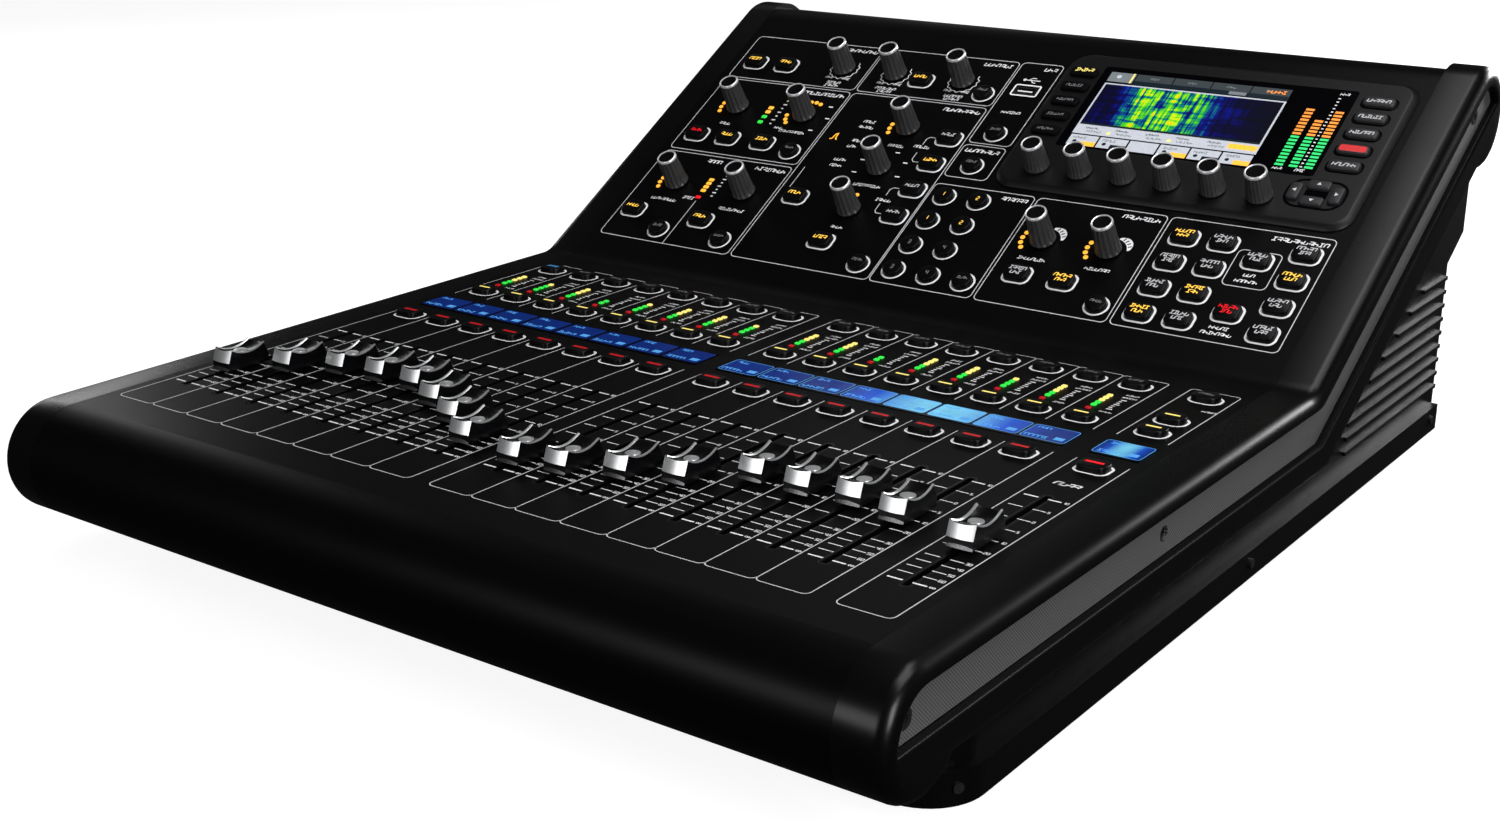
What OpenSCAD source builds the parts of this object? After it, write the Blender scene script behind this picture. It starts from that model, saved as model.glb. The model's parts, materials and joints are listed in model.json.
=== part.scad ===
// Digital mixing console: a flat fader bed in front of a sloping control panel, between
// two moulded side cheeks. X runs to the right, Y to the rear and Z up. The origin is on
// the table, midway between the sides and midway between the nose and the rear curl.

/* [Case] */
// Overall width over both side cheeks
width = 478; // [474:1:484]
// Height of the fader bed above the table
bed_z = 83; // [80:1:90]
// Angle of the control panel
tilt = 30.7; // [29:0.1:32]
// Width of each side cheek
cheek_w = 21.8; // [20:0.2:24]
// Thickness of the top shell's sheet
sheet = 2.5; // [2:0.5:3]

/* [Channel strips] */
// Distance from one fader to the next
pitch = 23.5; // [23:0.1:24]
// Travel of a fader
fader_travel = 102; // [100:1:104]
// Fader cap: width, length at its base, and height of its ends
cap_w = 11.8; // [11:0.1:13]
cap_len = 24.6; // [22:0.1:26]
cap_h = 10.2; // [9:0.1:12]

/* [Knobs and keys] */
// Height of a knob above the panel
knob_h = 20.4; // [18:0.2:22]
// Radius of a knob at its foot
knob_r = 7.1; // [6.5:0.1:7.5]
// Size of a rectangular key
key_w = 13.4; // [12:0.1:14]
key_d = 10.4; // [9:0.1:11]
// How far a key stands above the panel
key_proud = 2; // [1.5:0.1:2.5]
// Radius of a round key
round_key_r = 5.6; // [5:0.1:6]

/* [Hidden] */
$fn = 64;

// Places along Y. The bed's channel strips start at strip_y and run to the rear, and
// strip_y puts the nose and the rear curl at equal distances from the origin.
nose_r = 26.6;
nose_back = 20;
curl_r = 27.6;
slope_len = 236;
bed_len = 326.3;
strip_y = (nose_back + nose_r - bed_len - slope_len * cos(tilt) - curl_r * (1 + sin(tilt))) / 2;
fold_y = strip_y + bed_len;
nose_y = strip_y - nose_back;
case_front_y = strip_y;
fold_round = 22;
fold_steps = 5;
fold_gap = 0.04;
fold_reach = 90;
fold_middle = [fold_y - fold_round * tan(tilt / 2), fold_round];
case_rear_y = strip_y + 524;
hood_y = strip_y + 546;
foot_h = 12;
foot_r = 11;
foot_x = 174;
foot_y = [-217, 216];

// Places along X
half_w = width / 2;
shell_x = half_w - cheek_w;
case_x = half_w - 6.5;
skirt_x = half_w - 2.5;
bank_x = [-9 * pitch + 0.1, -12.2];
main_strip_w = 24.3;
main_x = shell_x - 5.8 - main_strip_w / 2;

// Depths below the top surface of the cheek's lip, side strip and lower edge, on the
// bed and on the slope
lip_bed = 8.7;
lip_slope = 11;
strip_bed = 28;
strip_slope = 30;
cheek_bed = 44.5;
cheek_slope = 49;
recess = 5.5;

// Channel strip: distances from the strips' front line
slot_start = 31.3;
mute_v = 176;
display_v = 204;
solo_v = 232.4;
clear_v = 252;
select_v = 289;

// Control panel: the printed boxes start box_s up the slope from the fold
box_s = 20.8;
key_row_s = 22.5;

// Fader levels at rest, 0 at the front end of the travel and 1 at the rear end
LEVELS = [0.31, 0.47, 0.59, 0.62, 0.62, 0.51, 0.39, 0.23,
          0.16, 0.19, 0.29, 0.38, 0.58, 0.57, 0.59, 0.54, 0.46];

// Knobs by name: across, up the slope
KNOBS = [["talk_level", -133.2, 167.8], ["monitor_level", -96.2, 167.8],
         ["phones_level", -49.4, 167.8], ["preamp_gain", -185.5, 122],
         ["low_cut", -135.8, 122], ["gate", -185.5, 50.2], ["dynamics", -135.8, 50.2],
         ["eq_width", -62.3, 122], ["eq_frequency", -62.3, 86.2], ["eq_gain", -62.3, 50.2],
         ["main_level", 61, 49.8], ["pan", 99.2, 49.8]];
encoder_x = 32.8;
encoder_pitch = 25.7;
encoder_s = 101.7;

// Keys on the control panel: across, up the slope
SECTION_KEYS = [[-198.5, 164.5], [-175, 164.5], [-76.7, 164.5], [-199, 93.5],
                [-175.6, 93.5], [-149.6, 93.5], [-200.2, 23], [-150.2, 23],
                [-101.3, 53.6], [-65.3, key_row_s], [59, key_row_s], [85.2, key_row_s],
                [177, 58.2], [177, 20]];
eq_band_x = -32.6;
eq_band_s = 50.4;
eq_band_pitch = 22.4;
layer_x = [133.9, 155.3, 198.8];
layer_s = 10.3;
layer_pitch = 19;
ROUND_KEYS = [[-31.6, 158.9], [-127.2, 89.4], [-173.2, 10.3], [-128.2, 10.3],
              [-33.6, 10.3], [-7, 126.7], [-7.4, 98.1], [32.3, 10.3], [110.4, 10.3]];
assign_x = [-11, 10.8];
assign_s = 10.7;
assign_pitch = 20.1;

// Display: bezel, glass and keys
bezel_x = [9.5, 213];
bezel_s = [85.5, 202.5];
bezel_round = 13;
bezel_h = 3;
glass_x = [34, 182];
glass_s = [121, 191];
page_x = [23.6, 195];
page_s = 131.3;
page_pitch = 12.9;
page_w = 17.5;
page_d = 7.4;
nav_x = 188.4;
nav_s = 108.6;

// Record socket on the panel
usb_x = -6.8;
usb_s = 165.8;

// Key mechanics: gap around a key in its window, its flange, and the travel
key_gap = 0.45;
key_flange = 1.2;
flange_t = 1.4;
flange_gap = 0.5;
key_round = 3;
shaft_r = 3;
bush_r = 3.8;
bush_hole_r = 4.1;
knob_gap = 0.8;
encoder_d = 7;

// Rear connectors
xlr_pitch = 28;
xlr_in_x = -206;
xlr_out_x = 28;
xlr_z = [38, 71];
xlr_r = 12;
jack_x = 142;
jack_pitch = 18;
jack_z = 29;
jack_hole_r = 3.3;
data_x = 28;
data_z = 95;
inlet_x = 207;
inlet_z = 42;
rocker_z = 82;
rocker_w = 19;
rocker_h = 13;
rocker_lean = 8;

FADERS = [for (i = [0 : 16]) str("fader_cap_", i + 1)];
KNOB_NODES = [for (k = KNOBS) str("knob_", k[0])];
ENCODERS = [for (i = [1 : 6]) str("knob_display_", i)];

// ---- places -----------------------------------------------------------------------

// A point on the slope, s from the fold and d below the surface, as [y, z - bed_z]
function slope_point(s, d) = [fold_y + s * cos(tilt) + d * sin(tilt),
                              s * sin(tilt) - d * cos(tilt)];

// Where the line a below the bed meets the line b below the slope
function bend(a, b) = slope_point((b * cos(tilt) - a) / sin(tilt), b);

// Across-place of each of the 17 strips' middles
function strip_x(i) = i < 16 ? bank_x[floor(i / 8)] + (i % 8 + 0.5) * pitch : main_x;

function encoder_at(i) = [encoder_x + i * encoder_pitch, encoder_s];

// Every rectangular key of the panel, and every round one
EQ_KEYS = [for (i = [0 : 3]) [eq_band_x, eq_band_s + i * eq_band_pitch]];
LAYER_KEYS = [for (x = layer_x, j = [0 : 3]) [x, layer_s + j * layer_pitch]];
ASSIGN_KEYS = [for (x = assign_x, j = [0 : 3]) [x, assign_s + j * assign_pitch]];
PANEL_KEYS = concat(SECTION_KEYS, EQ_KEYS, LAYER_KEYS);
ALL_ROUND = concat(ROUND_KEYS, ASSIGN_KEYS);
PAGE_KEYS = [for (x = page_x, j = [0 : 4]) [x, page_s + j * page_pitch]];

// Places a child on the fader bed's surface
module on_bed(x, v) {
    translate([x, strip_y + v, bed_z]) children();
}

// Places a child on the control panel's surface, with its Z along the panel's normal
module on_panel(x, s) {
    translate([x, fold_y, bed_z]) rotate([tilt, 0, 0]) translate([0, box_s + s, 0]) children();
}

// Extrudes a shape drawn in Y and height above the bed along X, between x0 and x1
module across(x0, x1) {
    translate([x0, 0, bed_z]) rotate([90, 0, 90]) linear_extrude(x1 - x0) children();
}

module mirrored() {
    children();
    mirror([1, 0, 0]) children();
}

// ---- outlines ---------------------------------------------------------------------

// A rectangle with true round corners
module rounded(w, d, r) {
    square([w - 2 * r, d], center = true);
    square([w, d - 2 * r], center = true);
    for (x = [-1, 1], y = [-1, 1])
        translate([x * (w / 2 - r), y * (d / 2 - r)]) circle(r);
}

module block(w, d, h, r) {
    linear_extrude(h) rounded(w, d, r);
}

// Points along the soft corner where the bed meets the slope
function fold_points(inset) =
    let (r = fold_round + inset)
    [for (i = [0 : fold_steps])
        fold_middle + r * [sin(tilt * i / fold_steps), -cos(tilt * i / fold_steps)]];

// Hairline joint through the fold, where the bed part meets the slope part
module fold_joint() {
    translate(fold_middle) rotate(tilt / 2)
        translate([-fold_gap / 2, -fold_reach]) square([fold_gap, fold_reach]);
}

// The console's long section, in by inset: nose, bed, slope and rear curl
module section(inset, low_bed, low_slope, r_curl, length) {
    curl = slope_point(length, r_curl);
    translate([nose_y, -nose_r]) circle(nose_r - inset);
    translate(curl) circle(r_curl - inset + curl_lap);
    polygon(concat([[nose_y, -inset]], fold_points(inset),
                   [slope_point(length, inset), slope_point(length, low_slope),
                    bend(low_bed, low_slope), [nose_y, -low_bed]]));
}

shell_curl_r = 24;
curl_lap = 0.03;
shell_len = slope_len - 4;

// The top shell's sheet, seen from the side
module sheet_section() {
    difference() {
        section(0, nose_r * 2, shell_curl_r * 2, shell_curl_r, shell_len);
        section(sheet, nose_r * 2 - sheet, shell_curl_r * 2 - sheet, shell_curl_r, shell_len);
        polygon([[strip_y + 2, -sheet - 1], bend(sheet + 1, sheet + 1),
                 slope_point(shell_len, sheet + 1), slope_point(shell_len, 70),
                 bend(70, 70), [strip_y + 2, -70]]);
    }
}

// The recess in a side cheek for its side strip, narrower by gap

module strip_section(gap) {
    curl = slope_point(slope_len, curl_r);
    intersection() {
        union() {
            translate([nose_y, -nose_r]) circle(nose_r - lip_bed - gap);
            translate(curl) circle(curl_r - lip_slope - gap);
            polygon([[nose_y, -lip_bed - gap], bend(lip_bed + gap, lip_slope + gap),
                     slope_point(slope_len, lip_slope + gap), slope_point(slope_len, 60),
                     bend(60, 60), [nose_y, -60]]);
        }
        polygon([[nose_y - 50, 0], [fold_y, 0], slope_point(slope_len + 60, 0),
                 slope_point(slope_len + 60, strip_slope - gap),
                 bend(strip_bed - gap, strip_slope - gap), [nose_y - 50, gap - strip_bed]]);
    }
}

// ---- case -------------------------------------------------------------------------

pan_t = 2;
skirt_h = 14;
skirt_round = 25;
groove = 1;
ribs = 9;
rib_h = 1.6;
// Heights above the bed where the hood leaves the rear wall, turns up and ends
hood_z = [21, 34.5, 68.5];

module pan_outline(x, inset) {
    front = case_front_y + inset;
    r = skirt_round - inset;
    hull() {
        for (side = [-1, 1]) translate([side * (x - r), front + r]) circle(r, $fn = 48);
        translate([-x, case_rear_y - pan_t - inset - 1]) square([2 * x, 1]);
    }
}

// Side wall under a cheek, up to the cheek's lower edge, with cooling ribs at the rear
module pan_side() {
    low = foot_h - bed_z;
    across(case_x - pan_t, case_x)
        polygon([[case_front_y + skirt_round, low + skirt_h - 1],
                 [case_rear_y - pan_t, low + skirt_h - 1], [case_rear_y - pan_t, hood_z[0]],
                 [hood_y - pan_t, hood_z[1]], [hood_y - pan_t, hood_z[2]],
                 slope_point(216, cheek_slope + groove),
                 bend(cheek_bed + groove, cheek_slope + groove),
                 [case_front_y + skirt_round, -cheek_bed - groove]]);
    for (i = [0 : ribs - 1]) {
        z = -47 + i * 7.6;
        start = strip_y + max(452 + 2.4 * z, 385);
        translate([case_x - 1, start, bed_z + z - 1])
            cube([rib_h + 1, case_rear_y - pan_t - start, 2]);
    }
}

module base_pan() {
    color("#151517") {
        difference() {
            translate([0, 0, foot_h]) linear_extrude(skirt_h) pan_outline(skirt_x, 0);
            translate([0, 0, foot_h + pan_t]) linear_extrude(skirt_h) pan_outline(skirt_x - 6, 6);
            translate([-skirt_x + 6, 0, foot_h + pan_t]) cube([2 * skirt_x - 12, 600, skirt_h]);
            for (x = [-foot_x, foot_x], y = foot_y)
                translate([x, y, foot_h - 1]) cylinder(r = 2.2, h = pan_t + 2);
        }
        mirrored() pan_side();
        translate([0, 0, foot_h + skirt_h - 1]) {
            linear_extrude(bed_z - 2 * nose_r - foot_h - skirt_h + 1) front_wall();
            linear_extrude(bed_z - cheek_bed - groove - foot_h - skirt_h + 1)
                difference() {
                    front_wall();
                    square([2 * shell_x + 1, 600], center = true);
                }
        }
    }
}

// Plan of the wall that stands on the front of the pan
module front_wall() {
    difference() {
        pan_outline(case_x, 4);
        pan_outline(case_x - pan_t, 4 + pan_t);
        translate([-half_w, case_front_y + 40]) square([width, 600]);
    }
}

// Connector panel with the hood that carries the rear of the top shell
module rear_panel() {
    low = foot_h - bed_z;
    color("#1a1a1c")
        difference() {
            union() {
                across(-case_x, case_x)
                    polygon([[case_rear_y - pan_t, low], [case_rear_y, low],
                             [case_rear_y, hood_z[0]], [hood_y, hood_z[1]],
                             [hood_y, hood_z[2]], [hood_y - pan_t, hood_z[2]],
                             [hood_y - pan_t, hood_z[1]], [case_rear_y - pan_t, hood_z[0]]]);
                across(-shell_x + 1, shell_x - 1)
                    translate([hood_y - pan_t, hood_z[1] + 2])
                        square([pan_t, slope_point(shell_len, 2 * shell_curl_r)[1] + 2
                                       - hood_z[1] - 2]);
            }
            for (x = xlr_places(), z = xlr_z)
                translate([x, case_rear_y + 1, z]) rotate([90, 0, 0]) cylinder(r = xlr_r, h = 5);
            for (p = jack_places())
                translate([p[0], case_rear_y + 1, p[1]]) rotate([90, 0, 0])
                    cylinder(r = 5.2, h = 5);
            for (i = [0 : 3])
                translate([data_x + i * 21 - 8.2, case_rear_y - 4, data_z - 6.8])
                    cube([16.4, 6, 13.6]);
            for (i = [0 : 1])
                translate([data_x + 88 + i * 22, case_rear_y + 1, data_z]) rotate([90, 0, 0])
                    cylinder(r = 7.6, h = 5);
            translate([inlet_x - 14, case_rear_y - 4, inlet_z - 10.5]) cube([28, 6, 21]);
            translate([inlet_x - rocker_w / 2 - 1.2, case_rear_y - 4, rocker_z - rocker_h / 2 - 1.2])
                cube([rocker_w + 2.4, 6, rocker_h + 2.4]);
        }
}

// ---- top shell --------------------------------------------------------------------

module window(w, d) {
    translate([0, 0, -sheet - 1])
        linear_extrude(sheet + 2) square([w + 2 * key_gap, d + 2 * key_gap], center = true);
}

module shell_windows() {
    for (i = [0 : 16]) {
        x = strip_x(i);
        on_bed(x, slot_start + fader_travel / 2)
            translate([0, 0, -sheet - 1])
                linear_extrude(sheet + 2) square([2.6, fader_travel + 7], center = true);
        for (v = [mute_v, solo_v, select_v]) on_bed(x, v) window(key_w, key_d);
    }
    on_bed(main_x, clear_v) window(key_w, key_d);
    for (i = [0 : 1])
        on_bed(bank_x[i] + 4 * pitch, display_v) window(8 * pitch - 2, 20);
    on_bed(main_x, display_v) window(main_strip_w - 2, 20);
    for (p = PANEL_KEYS) on_panel(p[0], p[1]) window(key_w, key_d);
    for (p = ALL_ROUND)
        on_panel(p[0], p[1]) translate([0, 0, -sheet - 1])
            cylinder(r = round_key_r + key_gap, h = sheet + 2);
    for (k = KNOBS)
        on_panel(k[1], k[2]) translate([0, 0, -sheet - 1]) cylinder(r = bush_hole_r, h = sheet + 2);
    on_panel(usb_x, usb_s) window(13, 5.6);
    on_panel((bezel_x[0] + bezel_x[1]) / 2, (bezel_s[0] + bezel_s[1]) / 2)
        window(bezel_x[1] - bezel_x[0] - 7.2, bezel_s[1] - bezel_s[0] - 7.2);
}

module top_shell() {
    color("#1c1c1e")
        difference() {
            across(-shell_x, shell_x) sheet_section();
            across(-half_w, half_w) fold_joint();
            shell_windows();
        }
}

// ---- side cheeks ------------------------------------------------------------------

bolt_v = [-29, 170];
bolt_d = -18.4;
bolt_hole_r = 2.6;
rear_bolt = [532.4, 99.4];
ear_hole_r = 3;
BOLTS = [[strip_y + bolt_v[0], bolt_d], [strip_y + rear_bolt[0], rear_bolt[1]]];

// Open hole for a rack ear, through a cheek and its side strip
module ear_hole(r) {
    translate([shell_x - 1, strip_y + bolt_v[1], bed_z + bolt_d]) rotate([0, 90, 0])
        cylinder(r = r, h = cheek_w);
}

module right_cheek() {
    color("#202022")
        difference() {
            across(shell_x, half_w) section(0, cheek_bed, cheek_slope, curl_r, slope_len);
            across(half_w - recess, half_w + 1) strip_section(0);
            across(shell_x - 1, half_w + 1) fold_joint();
            for (b = BOLTS)
                translate([shell_x - 1, b[0], bed_z + b[1]]) rotate([0, 90, 0])
                    cylinder(r = bolt_hole_r, h = cheek_w);
            ear_hole(ear_hole_r);
        }
}

module left_cheek() {
    mirror([1, 0, 0]) right_cheek();
}

// Perforated inserts that lie in the cheeks' recesses
module side_strips() {
    strip_t = 1.5;
    color("#3c3c40")
        mirrored()
            difference() {
                across(half_w - recess, half_w - recess + strip_t) strip_section(0.4);
                for (b = BOLTS)
                    translate([half_w - recess - 1, b[0], bed_z + b[1]]) rotate([0, 90, 0])
                        cylinder(r = 4.4, h = strip_t + 2);
                ear_hole(ear_hole_r + 0.6);
            }
}

// ---- display ----------------------------------------------------------------------

bezel_w = bezel_x[1] - bezel_x[0];
bezel_d = bezel_s[1] - bezel_s[0];
bezel_mid = [(bezel_x[0] + bezel_x[1]) / 2, (bezel_s[0] + bezel_s[1]) / 2];
glass_w = glass_x[1] - glass_x[0];
glass_d = glass_s[1] - glass_s[0];
glass_mid = [(glass_x[0] + glass_x[1]) / 2, (glass_s[0] + glass_s[1]) / 2];

module display_bezel() {
    step = 1.5;
    color("#2b2b2e")
        difference() {
            on_panel(bezel_mid[0], bezel_mid[1]) {
                translate([0, 0, 0.05]) block(bezel_w, bezel_d, bezel_h - step, bezel_round);
                translate([0, 0, 0.05])
                    block(bezel_w - 2 * step, bezel_d - 2 * step, bezel_h, bezel_round - step);
                translate([0, 0, -sheet])
                    block(bezel_w - 8, bezel_d - 8, sheet + 1, bezel_round - 4);
            }
            on_panel(glass_mid[0], glass_mid[1])
                translate([0, 0, -sheet - 1]) block(glass_w, glass_d, 10, 2);
            for (p = PAGE_KEYS)
                on_panel(p[0], p[1]) translate([0, 0, -sheet - 1])
                    linear_extrude(10)
                        square([page_w + 2 * key_gap, page_d + 2 * key_gap], center = true);
            nav_keys(key_gap, 12, -sheet - 1);
            for (i = [0 : 5])
                on_panel(encoder_at(i)[0], encoder_at(i)[1])
                    translate([0, 0, -sheet - 1]) cylinder(r = bush_hole_r, h = 10);
        }
}

// Liquid-crystal panel behind a sheet of glass
module display_screen() {
    color("#0b0c10") {
        on_panel(glass_mid[0], glass_mid[1])
            translate([0, 0, bezel_h - 2.1]) block(glass_w - 0.6, glass_d - 0.6, 1.8, 1.7);
        on_panel(glass_mid[0], glass_mid[1])
            translate([0, 0, -4]) block(glass_w - 4, glass_d - 4, bezel_h + 1.8, 1);
    }
}

// Small displays along the bed: one long glass to each bank and one for the main strip
module scribble_screens() {
    color("#101838") {
        for (i = [0 : 1])
            on_bed(bank_x[i] + 4 * pitch, display_v)
                translate([0, 0, -sheet]) block(8 * pitch - 2, 20, sheet + 0.3, 1.5);
        on_bed(main_x, display_v)
            translate([0, 0, -sheet]) block(main_strip_w - 2, 20, sheet + 0.3, 1.5);
    }
}

// ---- keys -------------------------------------------------------------------------

// A key: its cap stands proud of the sheet, and a flange under the sheet holds it in
module key(w, d, r) {
    deep = sheet + flange_gap + flange_t;
    translate([0, 0, -deep]) {
        block(w, d, deep + key_proud, r);
        block(w + 2 * key_flange, d + 2 * key_flange, flange_t, r);
    }
}

module round_key() {
    deep = sheet + flange_gap + flange_t;
    translate([0, 0, -deep]) {
        cylinder(r = round_key_r, h = deep + key_proud);
        cylinder(r = round_key_r + key_flange, h = flange_t);
    }
}

module strip_select_keys() {
    color("#26262a") for (i = [0 : 16]) on_bed(strip_x(i), select_v) key(key_w, key_d, 4);
}

module strip_solo_keys() {
    color("#26262a") {
        for (i = [0 : 16]) on_bed(strip_x(i), solo_v) key(key_w, key_d, 4);
        on_bed(main_x, clear_v) key(key_w, key_d, 4);
    }
}

module strip_mute_keys() {
    color("#26262a") for (i = [0 : 16]) on_bed(strip_x(i), mute_v) key(key_w, key_d, key_round);
}

module section_keys() {
    color("#26262a") for (p = PANEL_KEYS) on_panel(p[0], p[1]) key(key_w, key_d, key_round);
}

module round_keys() {
    color("#26262a") for (p = ALL_ROUND) on_panel(p[0], p[1]) round_key();
}

// Four arrow keys around a blank middle, wider by gap and reaching from z up by h
module nav_keys(gap, h, z) {
    on_panel(nav_x, nav_s)
        translate([0, 0, z]) {
            for (side = [-1, 1]) {
                translate([side * 11, 0, 0]) block(6.4 + 2 * gap, 12 + 2 * gap, h, 2);
                translate([0, side * 6.2, 0]) block(12 + 2 * gap, 6.4 + 2 * gap, h, 2);
            }
        }
}

module page_keys() {
    top = bezel_h + 1.6;
    color("#4a4a4e") {
        for (p = PAGE_KEYS)
            on_panel(p[0], p[1]) translate([0, 0, -1]) block(page_w, page_d, top + 1, 2);
        nav_keys(0, top + 1, -1);
    }
}

// ---- knobs ------------------------------------------------------------------------

// A knob on its shaft; foot is how far its mounting face stands above the panel
module knob(foot, shade) {
    top_r = knob_r - 1.3;
    bore_top = knob_h - 4;
    color(shade)
        difference() {
            rotate_extrude()
                polygon([[0, foot + knob_gap], [knob_r, foot + knob_gap],
                         [knob_r, foot + knob_gap + 2], [top_r + 0.3, knob_h - 1],
                         [top_r - 0.4, knob_h], [0, knob_h]]);
            translate([0, 0, foot]) cylinder(r = shaft_r, h = bore_top - foot);
            translate([0, 0, foot]) cylinder(r = bush_r + 0.5, h = 4);
            translate([0, 0, knob_h - 0.7]) cylinder(r = top_r - 1.3, h = 1);
        }
    color("silver")
        translate([0, 0, -sheet - encoder_d + 1])
            cylinder(r = shaft_r - 0.02, h = bore_top + sheet + encoder_d - 1.4);
}

module panel_knob(i) {
    on_panel(KNOBS[i][1], KNOBS[i][2]) knob(0, "#2e2e31");
}

module display_knob(i) {
    on_panel(encoder_at(i)[0], encoder_at(i)[1]) knob(bezel_h, "#3a3a3e");
}

// Encoder under the sheet: a square body and the threaded bush that holds it
module encoder(foot) {
    difference() {
        union() {
            translate([-6, -6, -sheet - encoder_d]) cube([12, 12, encoder_d - 0.1]);
            translate([0, 0, -sheet - 1]) cylinder(r = bush_r, h = sheet + foot + 3.5);
        }
        translate([0, 0, -sheet - encoder_d - 1])
            cylinder(r = shaft_r + 0.3, h = sheet + encoder_d + foot + 10);
    }
}

module encoder_bodies() {
    color("#8d9094") {
        for (k = KNOBS) on_panel(k[1], k[2]) encoder(0);
        for (i = [0 : 5]) on_panel(encoder_at(i)[0], encoder_at(i)[1]) encoder(bezel_h);
    }
}

// ---- faders -----------------------------------------------------------------------

cap_lift = 1.2;
saddle_sag = 2.3;
cap_top_len = 19.6;
blade_w = 1.2;
blade_len = 4;
carriage_top = -10;
track_w = 13;
track_depth = 30;

// Side view of a cap: two leaning ends with a hollow for the finger between them
module cap_section() {
    saddle_r = (pow(cap_top_len / 2 - 0.6, 2) + pow(saddle_sag, 2)) / (2 * saddle_sag);
    difference() {
        polygon([[-cap_len / 2 + 1, 0], [-cap_len / 2, 4.2], [-cap_top_len / 2, cap_h],
                 [cap_top_len / 2, cap_h], [cap_len / 2, 4.2], [cap_len / 2 - 1, 0]]);
        translate([0, cap_h - saddle_sag + saddle_r]) circle(saddle_r, $fn = 128);
    }
}

module fader_cap(i) {
    on_bed(strip_x(i), slot_start + LEVELS[i] * fader_travel) {
        color("#c9cacc")
            difference() {
                translate([-cap_w / 2, 0, cap_lift]) rotate([90, 0, 90])
                    linear_extrude(cap_w) cap_section();
                translate([-blade_w / 2, -blade_len / 2, 0])
                    cube([blade_w, blade_len, cap_lift + 5]);
            }
        color("#9a9da0") {
            difference() {
                union() {
                    translate([-blade_w / 2 + 0.05, -blade_len / 2 + 0.05, carriage_top - 1])
                        cube([blade_w - 0.1, blade_len - 0.1, cap_lift + 4.8 - carriage_top]);
                    translate([-4, -5, carriage_top - 9]) cube([8, 10, 9]);
                }
                translate([0, 8, carriage_top - 4.5]) rotate([90, 0, 0])
                    cylinder(r = 1.9, h = 16);
            }
        }
    }
}

// Track of one fader: a trough, the rod that the carriage runs on, and the motor
module fader_mechanism() {
    run = fader_travel + 22;
    rod_z = carriage_top - 4.5;
    color("#6f7276") {
        difference() {
            translate([-track_w / 2, -run / 2, -sheet - track_depth])
                cube([track_w, run, track_depth]);
            translate([-track_w / 2 + 1.5, -run / 2 + 3, -sheet - track_depth + 2])
                cube([track_w - 3, run - 6, track_depth]);
        }
        translate([0, run / 2 - 2, rod_z]) rotate([90, 0, 0]) cylinder(r = 1.5, h = run - 4);
        translate([0, run / 2 + 26, -sheet - 21]) rotate([90, 0, 0]) cylinder(r = 6, h = 25.5);
    }
}

module fader_mechanisms() {
    for (i = [0 : 16]) on_bed(strip_x(i), slot_start + fader_travel / 2) fader_mechanism();
}

// ---- electronics ------------------------------------------------------------------

board_t = 1.6;
board_drop = 8.5;

module circuit_boards() {
    color("#1f5a33") {
        on_bed(0, 242)
            translate([-208, -72, -board_drop - board_t]) cube([416, 146, board_t]);
        difference() {
            on_panel(0, 95)
                translate([-208, -92, -sheet - encoder_d - board_t - 1.5]) cube([416, 182, board_t]);
            on_panel(usb_x, usb_s) translate([-8, -4.5, -20]) cube([16, 9, 20]);
        }
        translate([-200, case_rear_y - 60, foot_h + 10]) cube([340, 30, board_t]);
    }
}

module power_supply() {
    color("#a9adb0")
        translate([140, case_rear_y - 190, foot_h + 4])
            difference() {
                cube([72, 120, 38]);
                for (i = [0 : 9])
                    translate([10, 8 + i * 11, 36]) cube([52, 4, 4]);
            }
}

// ---- rear connectors --------------------------------------------------------------

function xlr_places() = concat([for (i = [0 : 7]) xlr_in_x + i * xlr_pitch],
                               [for (i = [0 : 3]) xlr_out_x + i * xlr_pitch]);
function jack_places() = [for (i = [0 : 2], j = [0 : 3])
                          [jack_x + i * jack_pitch, jack_z + j * jack_pitch]];

// Three-pole socket: a square flange, a barrel, a hollow and three contacts
module xlr_socket(male) {
    hollow_r = male ? 8.6 : 7.6;
    difference() {
        union() {
            translate([0, -2, 0]) rotate([-90, 0, 0]) translate([0, 0, pan_t]) block(26, 31, 1.6, 3);
            translate([0, 1.6, 0]) rotate([90, 0, 0]) cylinder(r = xlr_r - 0.2, h = 22);
        }
        translate([0, 2.6, 0]) rotate([90, 0, 0]) cylinder(r = hollow_r, h = 18);
        for (s = [-1, 1])
            translate([s * 9.6, 3, s * 12]) rotate([90, 0, 0]) cylinder(r = 1.6, h = 8);
    }
    for (a = [90, 210, 330])
        translate([3.6 * cos(a), -4, 3.6 * sin(a)]) rotate([90, 0, 0])
            cylinder(r = male ? 1.3 : 1.7, h = 12);
}

module xlr_sockets() {
    color("#2a2b2d")
        for (i = [0 : 11], z = xlr_z)
            translate([xlr_places()[i], case_rear_y, z]) xlr_socket(i > 7);
}

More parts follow.
